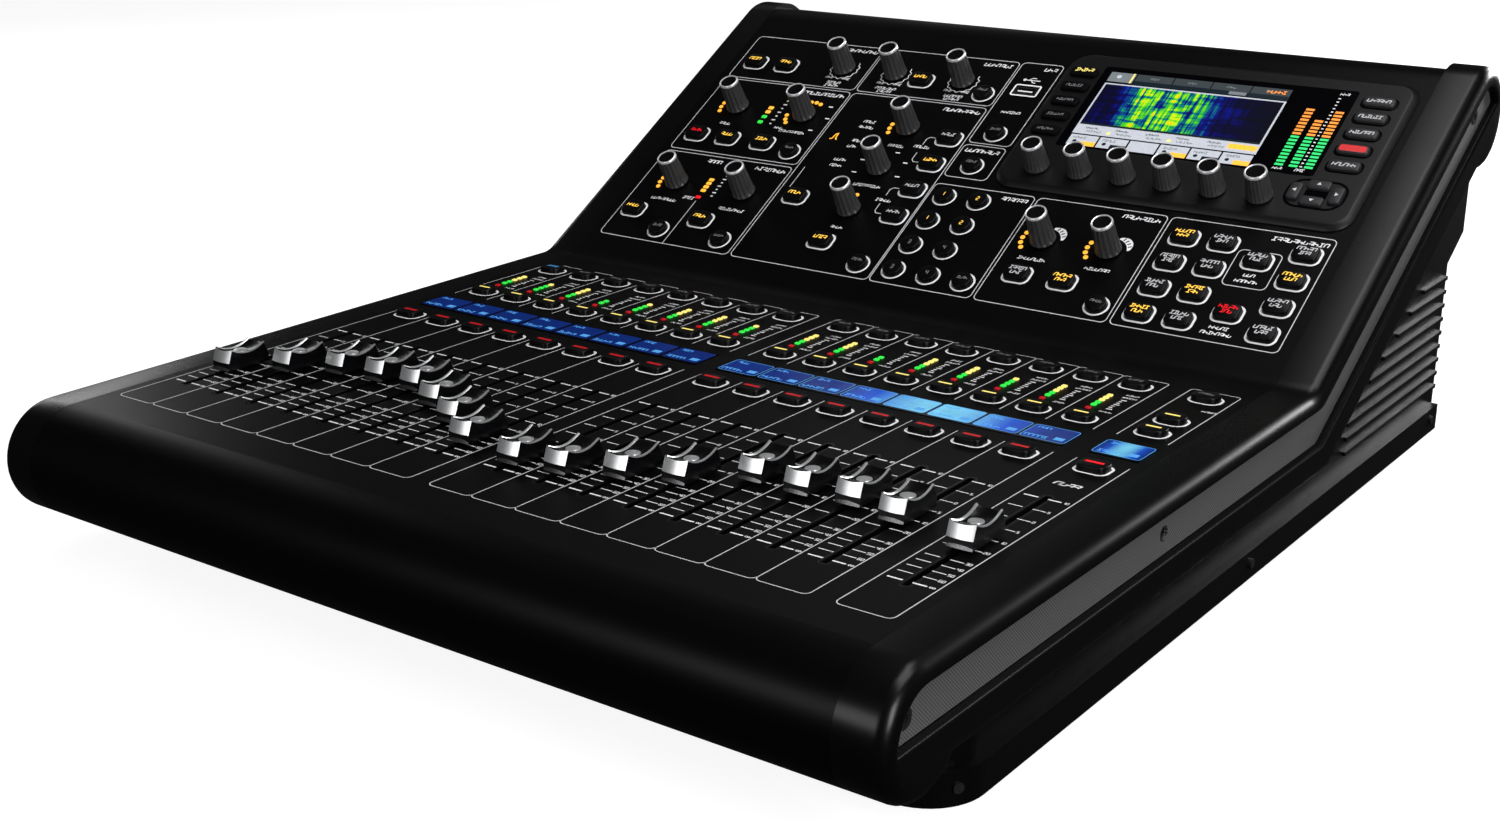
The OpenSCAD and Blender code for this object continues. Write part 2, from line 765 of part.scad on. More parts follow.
// Jack, network, round and square sockets, and the record socket on the panel
module rear_sockets() {
    color("#333437") {
        for (p = jack_places())
            translate([p[0], case_rear_y + 1.8, p[1]]) rotate([90, 0, 0])
                difference() {
                    union() {
                        cylinder(r = 6.2, h = 1.8);
                        cylinder(r = 5, h = 26);
                    }
                    translate([0, 0, -1]) cylinder(r = jack_hole_r, h = 24);
                }
        for (i = [0 : 3])
            translate([data_x + i * 21, case_rear_y + 1, data_z])
                difference() {
                    translate([-8, -20, -6.6]) cube([16, 20, 13.2]);
                    translate([-6, -14, -4]) cube([12, 15, 7.6]);
                }
        for (i = [0 : 1])
            translate([data_x + 88 + i * 22, case_rear_y + 1, data_z]) rotate([90, 0, 0])
                difference() {
                    cylinder(r = 7.4, h = 16);
                    translate([0, 0, -1]) cylinder(r = 6.2, h = 12);
                }
        on_panel(usb_x, usb_s)
            difference() {
                translate([-6.8, -3.1, -16]) cube([13.6 - 0.3, 6.2 - 0.3, 16.3]);
                translate([-5.9, -2.3, -13]) cube([11.8, 4.5, 15]);
            }
    }
}

module mains_inlet() {
    color("#101012")
        translate([inlet_x, case_rear_y, inlet_z]) {
            difference() {
                union() {
                    translate([-18, 0.05, -13]) cube([36, 2, 26]);
                    translate([-13.6, -28, -10]) cube([27.2, 28.5, 20]);
                }
                translate([-12, -16, -8.2]) cube([24, 20, 16.4]);
            }
            for (i = [-1, 0, 1])
                translate([i * 7 - 1, -16.5, i == 0 ? 0 : -4]) cube([2, 14, 4]);
            translate([0, 0, rocker_z - inlet_z]) rocker_frame();
        }
}

// Frame and housing round the power rocker
module rocker_frame() {
    difference() {
        union() {
            translate([-rocker_w / 2 - 3, 0.05, -rocker_h / 2 - 3])
                cube([rocker_w + 6, 1.6, rocker_h + 6]);
            translate([-rocker_w / 2 - 1, -14, -rocker_h / 2 - 1])
                cube([rocker_w + 2, 15, rocker_h + 2]);
        }
        translate([-rocker_w / 2, -12, -rocker_h / 2]) cube([rocker_w, 20, rocker_h]);
    }
}

module power_rocker() {
    color("#0f0f11")
        translate([inlet_x, case_rear_y, rocker_z]) rotate([rocker_lean, 0, 0])
            rotate([90, 0, 90]) translate([0, 0, -rocker_w / 2 + 0.4])
                linear_extrude(rocker_w - 0.8)
                    polygon([[3, -rocker_h / 2 + 1], [2.2, 0], [3, rocker_h / 2 - 1],
                             [-4, rocker_h / 2 - 2], [-4, -rocker_h / 2 + 2]]);
}

// ---- feet and fasteners -----------------------------------------------------------

module feet() {
    color("#0c0c0d")
        for (x = [-foot_x, foot_x], y = foot_y)
            translate([x, y, 0])
                difference() {
                    rotate_extrude()
                        polygon([[0, 0], [foot_r - 2, 0], [foot_r - 1, 1],
                                 [foot_r, foot_h], [0, foot_h]]);
                    translate([0, 0, -1]) cylinder(r = 4, h = 6);
                    cylinder(r = 2.2, h = foot_h + 1);
                }
}

// Socket-headed bolts through the side strips and small screws along the skirt
module screws() {
    skirt_z = foot_h + 7.5;
    color("#55585c")
        mirrored() {
            for (b = BOLTS)
                translate([half_w - recess, b[0], bed_z + b[1]]) rotate([0, 90, 0])
                    difference() {
                        union() {
                            translate([0, 0, -cheek_w + 8]) cylinder(r = 2.5, h = cheek_w - 7);
                            translate([0, 0, 0.05]) cylinder(r = 4.1, h = 1.9);
                        }
                        translate([0, 0, 0.6]) cylinder(r = 1.9, h = 3, $fn = 6);
                    }
            for (v = [265, 512])
                translate([skirt_x + 0.02, strip_y + v, skirt_z]) rotate([0, 90, 0])
                    cylinder(r = 2.2, h = 0.9);
            translate([skirt_x - skirt_round, case_front_y + skirt_round, skirt_z])
                rotate([0, 0, -31]) translate([skirt_round + 0.02, 0, 0])
                    rotate([0, 90, 0]) cylinder(r = 2.2, h = 0.9);
        }
}

base_pan();
rear_panel();
top_shell();
left_cheek();
right_cheek();
side_strips();
display_bezel();
display_screen();
scribble_screens();
feet();
screws();
xlr_sockets();
rear_sockets();
mains_inlet();
circuit_boards();
power_supply();
fader_mechanisms();
encoder_bodies();
strip_select_keys();
strip_solo_keys();
strip_mute_keys();
section_keys();
round_keys();
page_keys();
power_rocker();
for (i = [0 : 16])
    fader_cap(i);
for (i = [0 : len(KNOBS) - 1])
    panel_knob(i);
for (i = [0 : 5])
    display_knob(i);
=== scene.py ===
"""Looks of a digital mixing console: paint, printed panels, keys, knobs, lamps and displays."""

import json
import math

import bmesh
import bpy
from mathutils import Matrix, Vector

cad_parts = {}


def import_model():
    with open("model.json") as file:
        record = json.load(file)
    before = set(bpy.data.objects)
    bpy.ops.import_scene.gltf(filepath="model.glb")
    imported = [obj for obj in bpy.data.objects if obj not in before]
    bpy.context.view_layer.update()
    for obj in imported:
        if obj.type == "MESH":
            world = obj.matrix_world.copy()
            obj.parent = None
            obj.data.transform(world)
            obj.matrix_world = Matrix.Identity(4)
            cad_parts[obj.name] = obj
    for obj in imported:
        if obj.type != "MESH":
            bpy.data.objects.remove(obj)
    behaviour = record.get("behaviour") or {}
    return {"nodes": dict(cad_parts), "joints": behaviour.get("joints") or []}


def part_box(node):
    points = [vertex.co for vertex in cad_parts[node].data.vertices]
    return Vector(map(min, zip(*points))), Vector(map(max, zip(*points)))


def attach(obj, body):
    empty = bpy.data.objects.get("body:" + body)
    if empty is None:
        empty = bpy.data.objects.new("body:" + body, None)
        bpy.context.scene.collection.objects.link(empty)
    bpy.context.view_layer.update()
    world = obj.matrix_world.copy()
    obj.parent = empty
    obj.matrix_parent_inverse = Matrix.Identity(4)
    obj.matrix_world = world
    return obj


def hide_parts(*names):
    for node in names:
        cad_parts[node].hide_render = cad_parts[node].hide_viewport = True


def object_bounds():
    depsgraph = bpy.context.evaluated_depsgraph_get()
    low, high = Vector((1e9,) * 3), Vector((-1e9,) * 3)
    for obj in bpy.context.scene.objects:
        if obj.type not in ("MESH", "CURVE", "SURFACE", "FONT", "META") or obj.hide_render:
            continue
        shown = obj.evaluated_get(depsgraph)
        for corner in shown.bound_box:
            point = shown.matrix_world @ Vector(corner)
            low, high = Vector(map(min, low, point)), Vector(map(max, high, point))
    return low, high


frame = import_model()
cad_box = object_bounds()

# ---- driving dimensions, in millimetres -----------------------------------------------

MM = 0.001
TILT = math.radians(30.7)
BED_Z = 83.0
BED_LEN = 326.3
SLOPE_LEN = 236.0
NOSE_R = 26.6
NOSE_BACK = 20.0
CURL_R = 27.6
STRIP_Y = (NOSE_BACK + NOSE_R - BED_LEN - SLOPE_LEN * math.cos(TILT)
           - CURL_R * (1 + math.sin(TILT))) / 2
FOLD_Y = STRIP_Y + BED_LEN
NOSE_Y = STRIP_Y - NOSE_BACK
HALF_W = cad_box[1][0] / MM
CHEEK_W = 21.8
SHELL_X = HALF_W - CHEEK_W
BOX_S = 20.8

PITCH = 23.5
BANKS = (-9 * PITCH + 0.1, -12.2)
MAIN_W = 24.3
MAIN_X = SHELL_X - 5.8 - MAIN_W / 2
KEY_W = 13.4
KEY_D = 10.4
ROUND_KEY_R = 5.6
KEY_PROUD = 2.9
KEY_ROOT = 3.0
ROUND_CORNER = 4.2
SQUARE_CORNER = 3.0
LEGEND_H = KEY_PROUD + 0.05
RING_H = 0.09
KNOB_H = 20.4
KNOB_R = 7.1
BEZEL_H = 3.0
PRINT_H = 0.06
LINE_W = 0.5
RING_W = 1.25

# Depth of a finish's grain, and the pitch and depth of the mesh's holes, in metres
GRAIN_DEPTH = 0.0002
HOLE_PITCH = 0.0011
HOLE_DEPTH = 0.0003

STRIPS = [BANKS[i // 8] + (i % 8 + 0.5) * PITCH for i in range(16)] + [MAIN_X]


class Surface:
    """A flat face of the console: u runs to the right, v up the face and h off it."""

    def __init__(self, y, z, lean):
        self.origin = Vector((0, y, z))
        self.across = Vector((1, 0, 0))
        self.up = Vector((0, math.cos(lean), math.sin(lean)))
        self.out = Vector((0, -math.sin(lean), math.cos(lean)))

    def at(self, u, v, h=0.0):
        return (self.origin + self.across * u + self.up * v + self.out * h) * MM

    def where(self, point):
        p = Vector(point) / MM - self.origin
        return p.dot(self.across), p.dot(self.up), p.dot(self.out)


BED = Surface(STRIP_Y, BED_Z, 0.0)
PANEL = Surface(FOLD_Y + BOX_S * math.cos(TILT), BED_Z + BOX_S * math.sin(TILT), TILT)


# ---- materials ------------------------------------------------------------------------

def new_material(name):
    mat = bpy.data.materials.new(name)
    mat.use_nodes = True
    nodes, links = mat.node_tree.nodes, mat.node_tree.links
    return mat, nodes, links, nodes["Principled BSDF"]


def noise_on(nodes, links, scale, detail=3.0, stretch=(1, 1, 1)):
    """Noise in object space, so that the grain has a real size."""
    coord = nodes.new("ShaderNodeTexCoord")
    mapping = nodes.new("ShaderNodeMapping")
    mapping.inputs["Scale"].default_value = stretch
    noise = nodes.new("ShaderNodeTexNoise")
    noise.inputs["Scale"].default_value = scale
    noise.inputs["Detail"].default_value = detail
    links.new(coord.outputs["Object"], mapping.inputs["Vector"])
    links.new(mapping.outputs["Vector"], noise.inputs["Vector"])
    return noise


def spread(nodes, links, source, to_low, to_high=1.0, low=0.0, high=1.0, curve="LINEAR"):
    """Maps the range low to high of a value to the range to_low to to_high."""
    ranged = nodes.new("ShaderNodeMapRange")
    ranged.interpolation_type = curve
    for name, value in (("From Min", low), ("From Max", high), ("To Min", to_low),
                        ("To Max", to_high)):
        ranged.inputs[name].default_value = value
    links.new(source, ranged.inputs["Value"])
    return ranged.outputs["Result"]


def compute(nodes, links, operation, a, b=None):
    """One sum on a value, with a second value or a fixed number."""
    node = nodes.new("ShaderNodeMath")
    node.operation = operation
    links.new(a, node.inputs[0])
    if isinstance(b, float):
        node.inputs[1].default_value = b
    elif b is not None:
        links.new(b, node.inputs[1])
    return node.outputs[0]


def colours(nodes, links, source, stops):
    """Turns a value into colours, given as (place, colour) in rising order."""
    ramp = nodes.new("ShaderNodeValToRGB")
    elements = ramp.color_ramp.elements
    elements[0].position, elements[-1].position = stops[0][0], stops[-1][0]
    for place, _ in stops[1:-1]:
        elements.new(place)
    for element, (_, colour) in zip(elements, stops):
        element.color = (*colour, 1)
    links.new(source, ramp.inputs["Fac"])
    return ramp.outputs["Color"]


def two_tone(nodes, links, source, dark, light):
    return colours(nodes, links, source, ((0.35, dark), (0.65, light)))


def raise_by(nodes, links, bsdf, height, strength, distance):
    """Bumps of a given depth in metres where height is high."""
    bumps = nodes.new("ShaderNodeBump")
    bumps.inputs["Strength"].default_value = strength
    bumps.inputs["Distance"].default_value = distance
    links.new(height, bumps.inputs["Height"])
    links.new(bumps.outputs["Normal"], bsdf.inputs["Normal"])


def object_x(nodes, links):
    """Place across the console, in metres."""
    coord = nodes.new("ShaderNodeTexCoord")
    split = nodes.new("ShaderNodeSeparateXYZ")
    links.new(coord.outputs["Object"], split.inputs["Vector"])
    return split.outputs["X"]


def finish(name, colour, rough, metal=0.0, specular=0.5, grain=900.0, bump=0.05,
           variation=0.15, stretch=(1, 1, 1)):
    """A solid finish whose colour, roughness and surface vary a little."""
    mat, nodes, links, bsdf = new_material(name)
    noise = noise_on(nodes, links, grain, 4.0, stretch)
    dark = tuple(c * (1 - variation) for c in colour)
    light = tuple(min(1.0, c * (1 + variation)) for c in colour)
    links.new(two_tone(nodes, links, noise.outputs["Fac"], dark, light),
              bsdf.inputs["Base Color"])
    broad = noise_on(nodes, links, 14.0)
    links.new(spread(nodes, links, broad.outputs["Fac"], rough * 0.88, rough * 1.12),
              bsdf.inputs["Roughness"])
    bsdf.inputs["Metallic"].default_value = metal
    bsdf.inputs["Specular IOR Level"].default_value = specular
    raise_by(nodes, links, bsdf, noise.outputs["Fac"], bump, GRAIN_DEPTH)
    return mat


def lamp(name, colour, strength):
    """A lit lens, hotter in patches."""
    mat, nodes, links, bsdf = new_material(name)
    noise = noise_on(nodes, links, 700.0, 1.0)
    bsdf.inputs["Base Color"].default_value = (*[c * 0.5 for c in colour], 1)
    bsdf.inputs["Roughness"].default_value = 0.3
    bsdf.inputs["Emission Color"].default_value = (*colour, 1)
    links.new(spread(nodes, links, noise.outputs["Fac"], strength * 0.75, strength * 1.25),
              bsdf.inputs["Emission Strength"])
    return mat


def mesh_material(name):
    """Fine perforated sheet: rows of small dark holes in grey metal."""
    mat, nodes, links, bsdf = new_material(name)
    coord = nodes.new("ShaderNodeTexCoord")
    holes = nodes.new("ShaderNodeTexVoronoi")
    holes.inputs["Scale"].default_value = 1 / HOLE_PITCH
    holes.inputs["Randomness"].default_value = 0.0
    turned = nodes.new("ShaderNodeMapping")
    turned.inputs["Rotation"].default_value = (math.radians(45), 0, 0)
    links.new(coord.outputs["Object"], turned.inputs["Vector"])
    links.new(turned.outputs["Vector"], holes.inputs["Vector"])
    links.new(two_tone(nodes, links, holes.outputs["Distance"], (0.004,) * 3,
                       (0.2, 0.2, 0.205)), bsdf.inputs["Base Color"])
    bsdf.inputs["Roughness"].default_value = 0.5
    bsdf.inputs["Metallic"].default_value = 0.4
    raise_by(nodes, links, bsdf, holes.outputs["Distance"], 0.5, HOLE_DEPTH)
    return mat


def waterfall_material(name, low, high):
    """A spectrum history: streaks that climb from blue through green to yellow."""
    mat, nodes, links, bsdf = new_material(name)
    streaks = noise_on(nodes, links, 1.0, 3.0, (620, 30, 30))
    rows = noise_on(nodes, links, 1.0, 2.0, (60, 260, 260))
    shape = nodes.new("ShaderNodeFloatCurve")
    curve = shape.mapping.curves[0]
    curve.points[0].location = (0, 0.05)
    curve.points[1].location = (1, 0.0)
    for x, y in ((0.1, 0.14), (0.18, 0.5), (0.26, 1.0), (0.5, 0.85), (0.62, 0.4),
                 (0.74, 0.16)):
        curve.points.new(x, y)
    shape.mapping.update()
    links.new(spread(nodes, links, object_x(nodes, links), 0.0, 1.0, low * MM, high * MM),
              shape.inputs["Value"])
    streaky = spread(nodes, links, streaks.outputs["Fac"], 0.2, 1.0, 0.36, 0.66)
    patchy = spread(nodes, links, rows.outputs["Fac"], 0.3, 1.0, 0.34, 0.6)
    level = compute(nodes, links, "MULTIPLY", compute(nodes, links, "MULTIPLY", streaky,
                                                      patchy), shape.outputs["Value"])
    glow = colours(nodes, links, level, (
        (0.0, (0.0, 0.0, 0.006)), (0.04, (0.0, 0.0, 0.035)), (0.13, (0.0, 0.004, 0.2)),
        (0.22, (0.0, 0.12, 0.22)), (0.32, (0.01, 0.42, 0.03)), (0.48, (0.2, 0.8, 0.01)),
        (0.66, (0.75, 0.85, 0.01)), (0.85, (1.0, 0.45, 0.0))))
    bsdf.inputs["Base Color"].default_value = (0, 0, 0, 1)
    bsdf.inputs["Specular IOR Level"].default_value = 0.1
    links.new(glow, bsdf.inputs["Emission Color"])
    bsdf.inputs["Emission Strength"].default_value = 1.1
    return mat


def cell_material(name, strength, glare_x, glare_w):
    """Small blue displays with a painted glare: paler and brighter near one place across the
    console, standing in for light reflected in their glass.
    """
    mat, nodes, links, bsdf = new_material(name)
    glare_distance = compute(nodes, links, "ABSOLUTE", compute(
        nodes, links, "SUBTRACT", object_x(nodes, links), float(glare_x * MM)))
    close = spread(nodes, links, glare_distance, 0.0, 1.0, glare_w * MM, 0.0, "SMOOTHSTEP")
    # The pale cyan end of these colours is the painted glare
    glow = colours(nodes, links, close, ((0.0, (0.001, 0.016, 0.17)),
                                         (0.4, (0.004, 0.08, 0.6)),
                                         (1.0, (0.2, 0.66, 0.92))))
    noise = noise_on(nodes, links, 160.0, 2.0)
    bsdf.inputs["Base Color"].default_value = (0.0, 0.01, 0.05, 1)
    bsdf.inputs["Roughness"].default_value = 0.2
    links.new(glow, bsdf.inputs["Emission Color"])
    links.new(spread(nodes, links, noise.outputs["Fac"], strength * 0.75, strength * 1.25),
              bsdf.inputs["Emission Strength"])
    return mat


# Finishes: material slot, colour, roughness and what differs from a plain finish
FINISHES = {
    "paint": ("shell_paint", (0.0012, 0.0012, 0.0014), 0.36,
              {"specular": 0.1, "grain": 1500, "bump": 0.03}),
    "cheek": ("cheek_paint", (0.002, 0.002, 0.0024), 0.27,
              {"specular": 0.2, "grain": 1800, "bump": 0.03}),
    "case": ("case_paint", (0.0018, 0.0018, 0.002), 0.34,
             {"specular": 0.16, "grain": 1200, "bump": 0.03}),
    "bezel": ("bezel_plastic", (0.0035, 0.0035, 0.004), 0.42,
              {"specular": 0.24, "grain": 1400, "bump": 0.03}),
    "glass": ("screen_glass", (0.001, 0.001, 0.0015), 0.15,
              {"specular": 0.12, "grain": 60, "bump": 0.0}),
    "key": ("key_plastic", (0.002, 0.002, 0.0024), 0.3, {"specular": 0.14, "grain": 1600}),
    "page_key": ("page_key_plastic", (0.018, 0.018, 0.02), 0.45,
                 {"specular": 0.3, "grain": 1600}),
    "knob": ("knob_plastic", (0.035, 0.035, 0.037), 0.38,
             {"specular": 0.6, "stretch": (1, 1, 0.2)}),
    "ring": ("knob_ring", (0.78, 0.78, 0.8), 0.28, {"metal": 0.5, "bump": 0.03}),
    "disc": ("knob_plastic", (0.0015, 0.0015, 0.002), 0.7, {"specular": 0.05}),
    "silver": ("fader_silver", (0.66, 0.67, 0.68), 0.33,
               {"metal": 0.75, "grain": 1100, "stretch": (1, 1, 0.15), "bump": 0.04,
                "variation": 0.06}),
    # The caps' skirts: the caps' silver darkened, a painted shade for the dark band low on each
    # end
    "skirt": ("fader_silver", (0.08, 0.08, 0.084), 0.25, {"metal": 0.7}),
    "cap_black": ("fader_black", (0.002, 0.002, 0.0025), 0.25, {"specular": 0.3}),
    "white": ("marking_white", (0.88, 0.88, 0.9), 0.5,
              {"specular": 0.2, "grain": 2500, "bump": 0.02, "variation": 0.05}),
    "dim": ("marking_white", (0.2, 0.2, 0.21), 0.5,
            {"specular": 0.2, "grain": 2500, "bump": 0.02}),
    "grey": ("marking_white", (0.62, 0.62, 0.64), 0.5,
             {"specular": 0.2, "grain": 2500, "bump": 0.02}),
    "rubber": ("rubber", (0.006, 0.006, 0.006), 0.8, {"grain": 700, "bump": 0.3}),
    "steel": ("fastener_steel", (0.05, 0.05, 0.055), 0.35, {"metal": 0.8}),
    "socket": ("socket_plastic", (0.012, 0.012, 0.013), 0.4, {"grain": 1200}),
    "board": ("green_board", (0.01, 0.09, 0.03), 0.4, {"grain": 500}),
    "sheet": ("supply_metal", (0.5, 0.52, 0.54), 0.35, {"metal": 0.9, "grain": 400}),
    "track": ("track_metal", (0.35, 0.36, 0.38), 0.4, {"metal": 0.9, "grain": 500}),
}
# Lit parts: material slot, colour and strength
LAMPS = {
    "amber": ("lamp_amber", (1.0, 0.45, 0.04), 1.1),
    "yellow": ("lamp_amber", (0.95, 0.78, 0.2), 0.85),
    "gold": ("lamp_amber", (1.0, 0.6, 0.08), 1.0),
    "red": ("lamp_red", (0.85, 0.008, 0.015), 0.75),
    "dark_red": ("lamp_red", (0.55, 0.006, 0.012), 0.5),
    "key_red": ("lamp_red", (0.75, 0.03, 0.035), 0.45),
    "green": ("lamp_green", (0.03, 0.7, 0.06), 0.9),
    "meter_green": ("lamp_green", (0.03, 0.75, 0.18), 0.85),
    "orange": ("lamp_amber", (1.0, 0.3, 0.04), 0.95),
    "blue": ("lamp_blue", (0.08, 0.32, 0.7), 0.8),
    "pale": ("marking_white", (0.62, 0.65, 0.72), 0.55),
    "fog": ("screen_glass", (0.2, 0.23, 0.25), 0.6),
    "slate": ("screen_glass", (0.04, 0.05, 0.055), 0.7),
    "ink": ("screen_glass", (0.004, 0.012, 0.02), 0.6),
}
# Blue displays: strength, where their painted glare is palest and how wide the glare is
CELLS = {
    "cells_1": (0.7, -400, 90),
    "cells_2": (0.9, BANKS[1] + 5.1 * PITCH, 62),
    "cells_main": (0.8, MAIN_X, 12),
}
SPECTRUM = (42, 145)

MATS = {"mesh": mesh_material("mesh"),
        "waterfall": waterfall_material("waterfall", *SPECTRUM)}
SLOT_OF = {"mesh": "mesh_grey", "waterfall": "screen_glass"}
for look, (slot, colour, rough, extra) in FINISHES.items():
    MATS[look], SLOT_OF[look] = finish(look, colour, rough, **extra), slot
for look, (slot, colour, strength) in LAMPS.items():
    MATS[look], SLOT_OF[look] = lamp(look, colour, strength), slot
for look, values in CELLS.items():
    MATS[look], SLOT_OF[look] = cell_material(look, *values), "blue_display"


# ---- building pieces ------------------------------------------------------------------

def rounded_loop(u, v, w, d, r, steps=5):
    """Points round a rectangle with round corners, counter-clockwise."""
    points = []
    for k, (su, sv) in enumerate(((1, 1), (-1, 1), (-1, -1), (1, -1))):
        for i in range(steps + 1):
            a = math.radians(90 * k + 90 * i / steps)
            points.append((u + su * (w / 2 - r) + r * math.cos(a),
                           v + sv * (d / 2 - r) + r * math.sin(a)))
    return points


def circle_loop(u, v, r, steps=28):
    return [(u + r * math.cos(2 * math.pi * i / steps),
             v + r * math.sin(2 * math.pi * i / steps)) for i in range(steps)]


def polar(u, v, r, degrees):
    """A point round (u, v), in degrees clockwise from straight up the face."""
    a = math.radians(degrees)
    return u + r * math.sin(a), v + r * math.cos(a)


def arc_points(u, v, r, start, end, steps):
    return [polar(u, v, r, start + (end - start) * i / steps) for i in range(steps + 1)]


class Shape:
    """Faces gathered on one surface, then made into one piece."""

    def __init__(self, surface, height=PRINT_H):
        self.surface = surface
        self.height = height
        self.verts = []
        self.faces = []

    def loop(self, points, h):
        start = len(self.verts)
        self.verts += [self.surface.at(u, v, h) for u, v in points]
        return list(range(start, len(self.verts)))

    def face(self, points):
        self.faces.append(self.loop(points, self.height))

    def box(self, left, right, low, high):
        self.face([(left, low), (right, low), (right, high), (left, high)])

    def bar(self, u, v, w, d):
        self.box(u - w / 2, u + w / 2, v - d / 2, v + d / 2)

    def bridge(self, a, b, closed=True):
        """Faces from one line of points to the next."""
        for i in range(len(a) if closed else len(a) - 1):
            j = (i + 1) % len(a)
            self.faces.append([a[i], a[j], b[j], b[i]])

    def sheet(self, rows, flip=False):
        """A patch through rows of points given as (u, v, height)."""
        lines = []
        for row in rows:
            start = len(self.verts)
            self.verts += [self.surface.at(*point) for point in row]
            lines.append(list(range(start, len(self.verts))))
        for a, b in zip(lines, lines[1:]):
            self.bridge(*((b, a) if flip else (a, b)), closed=False)
        return lines

    def stroke(self, points, width, closed=False):
        """A line of even width, mitred at its corners."""
        n = len(points)
        left, right = [], []
        for i, (u, v) in enumerate(points):
            before = points[i - 1] if closed or i else points[i]
            after = points[(i + 1) % n] if closed or i < n - 1 else points[i]
            a = Vector((u - before[0], v - before[1])).normalized()
            b = Vector((after[0] - u, after[1] - v)).normalized()
            if not a.length:
                a = b
            if not b.length:
                b = a
            side = Vector((-(a + b).y, (a + b).x)).normalized()
            reach = width / 2 / max(0.4, side.dot(Vector((-a.y, a.x))))
            left.append((u + side.x * reach, v + side.y * reach))
            right.append((u - side.x * reach, v - side.y * reach))
        near_side = self.loop(left, self.height)
        self.bridge(self.loop(right, self.height), near_side, closed)

    def ring(self, u, v, inner, outer, steps=32):
        inside = self.loop(circle_loop(u, v, inner, steps), self.height)
        self.bridge(self.loop(circle_loop(u, v, outer, steps), self.height), inside)

    def pad(self, loop_at, low, high, bevel, steps=3):
        """A raised block whose outline is loop_at(inset), with a round top edge."""
        rings = [self.loop(loop_at(0.0), low)]
        for i in range(steps + 1):
            a = math.pi / 2 * i / steps
            rings.append(self.loop(loop_at(bevel * (1 - math.cos(a))),
                                   high - bevel * (1 - math.sin(a))))
        for a, b in zip(rings, rings[1:]):
            self.bridge(a, b)
        self.faces.append(rings[-1])

    def glyphs(self, u, v, count, size, gap=0.3, lean=0.25, seed=0.0):
        """A line of marks that look like small lettering but spell nothing."""
        w = size * 0.8
        pen = size * 0.24
        start = u - (count * (w + gap) - gap) / 2 + w / 2
        for i in range(count):
            pick = int(abs(math.sin(seed * 12.9 + i * 78.2 + count)) * 997) % len(MARKS)
            for a, b, c, d in MARKS[pick]:
                x0, y0 = (a - 0.5) * w, (b - 0.5) * size
                x1, y1 = (c - 0.5) * w, (d - 0.5) * size
                at = start + i * (w + gap)
                line = [(at + x0 + y0 * lean, v + y0), (at + x1 + y1 * lean, v + y1)]
                self.stroke(line, pen)

    def piece(self, name, look, body, hides=(), smooth=False):
        mesh = bpy.data.meshes.new(name)
        mesh.from_pydata(self.verts, [], self.faces)
        mesh.validate()
        mesh.update()
        return add_piece(name, mesh, look, body, hides, smooth)


# Strokes of generic marks, each within a unit square
MARKS = (
    ((0, 0, 0, 1), (0, 1, 1, 1), (1, 1, 1, 0)),
    ((0, 0, 0, 1), (0, 0.5, 1, 0.5), (1, 0.5, 1, 0)),
    ((0, 0, 1, 0), (0.5, 0, 0.5, 1), (0, 1, 1, 1)),
    ((0, 0, 0, 1), (0, 0, 1, 0), (1, 0, 1, 0.6)),
    ((1, 0, 1, 1), (0, 1, 1, 1), (0, 0.4, 1, 0.4)),
)
DIGITS = {
    "0": "abcdef", "1": "bc", "2": "abged", "3": "abgcd", "4": "fgbc", "5": "afgcd",
    "6": "afgedc",
}
SEGMENTS = {
    "a": (0, 1, 1, 1), "b": (1, 0.5, 1, 1), "c": (1, 0, 1, 0.5), "d": (0, 0, 1, 0),
    "e": (0, 0, 0, 0.5), "f": (0, 0.5, 0, 1), "g": (0, 0.5, 1, 0.5),
}


def numeral(shape, text, u, v, size):
    """A number of a fader's scale, drawn in straight strokes from its left end."""
    w = size * 0.5
    for i, character in enumerate(text):
        for name in DIGITS[character]:
            a, b, c, d = SEGMENTS[name]
            at = u + i * w * 1.5
            shape.stroke([(at + a * w, v + (b - 0.5) * size),
                          (at + c * w, v + (d - 0.5) * size)], size * 0.17)


def add_piece(name, mesh, look, body, hides=(), smooth=False):
    obj = bpy.data.objects.new(name, mesh)
    bpy.context.scene.collection.objects.link(obj)
    obj.data.materials.append(MATS[look])
    if smooth:
        for polygon in mesh.polygons:
            polygon.use_smooth = True
        mesh.set_sharp_from_angle(angle=math.radians(38))
    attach(obj, body)
    if hides:
        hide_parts(*hides)
    return obj


def add_pieces(prefix, shapes, body="console"):
    for look, shape in shapes.items():
        shape.piece(prefix + look, look, body)


def centres(node, surface):
    """The middle of each separate solid of a CAD node, as places on a surface."""
    bm = bmesh.new()
    bm.from_mesh(frame["nodes"][node].data)
    bmesh.ops.remove_doubles(bm, verts=bm.verts, dist=1e-6)
    seen, found = set(), []
    for seed in bm.verts:
        if seed in seen:
            continue
        stack, group = [seed], []
        seen.add(seed)
        while stack:
            vert = stack.pop()
            group.append(surface.where(vert.co))
            for edge in vert.link_edges:
                other = edge.other_vert(vert)
                if other not in seen:
                    seen.add(other)
                    stack.append(other)
        u = [p[0] for p in group]
        v = [p[1] for p in group]
        found.append(((min(u) + max(u)) / 2, (min(v) + max(v)) / 2))
    bm.free()
    return sorted(found, key=lambda p: (-round(p[1]), p[0]))


def near(places, u, v):
    """The place in a list that is nearest to (u, v)."""
    return min(places, key=lambda p: math.hypot(p[0] - u, p[1] - v))


# ---- side cheeks ----------------------------------------------------------------------

def slope_point(s, depth):
    return (FOLD_Y + s * math.cos(TILT) + depth * math.sin(TILT),
            s * math.sin(TILT) - depth * math.cos(TILT))


def bend(bed_depth, slope_depth):
    return slope_point((slope_depth * math.cos(TILT) - bed_depth) / math.sin(TILT),
                       slope_depth)


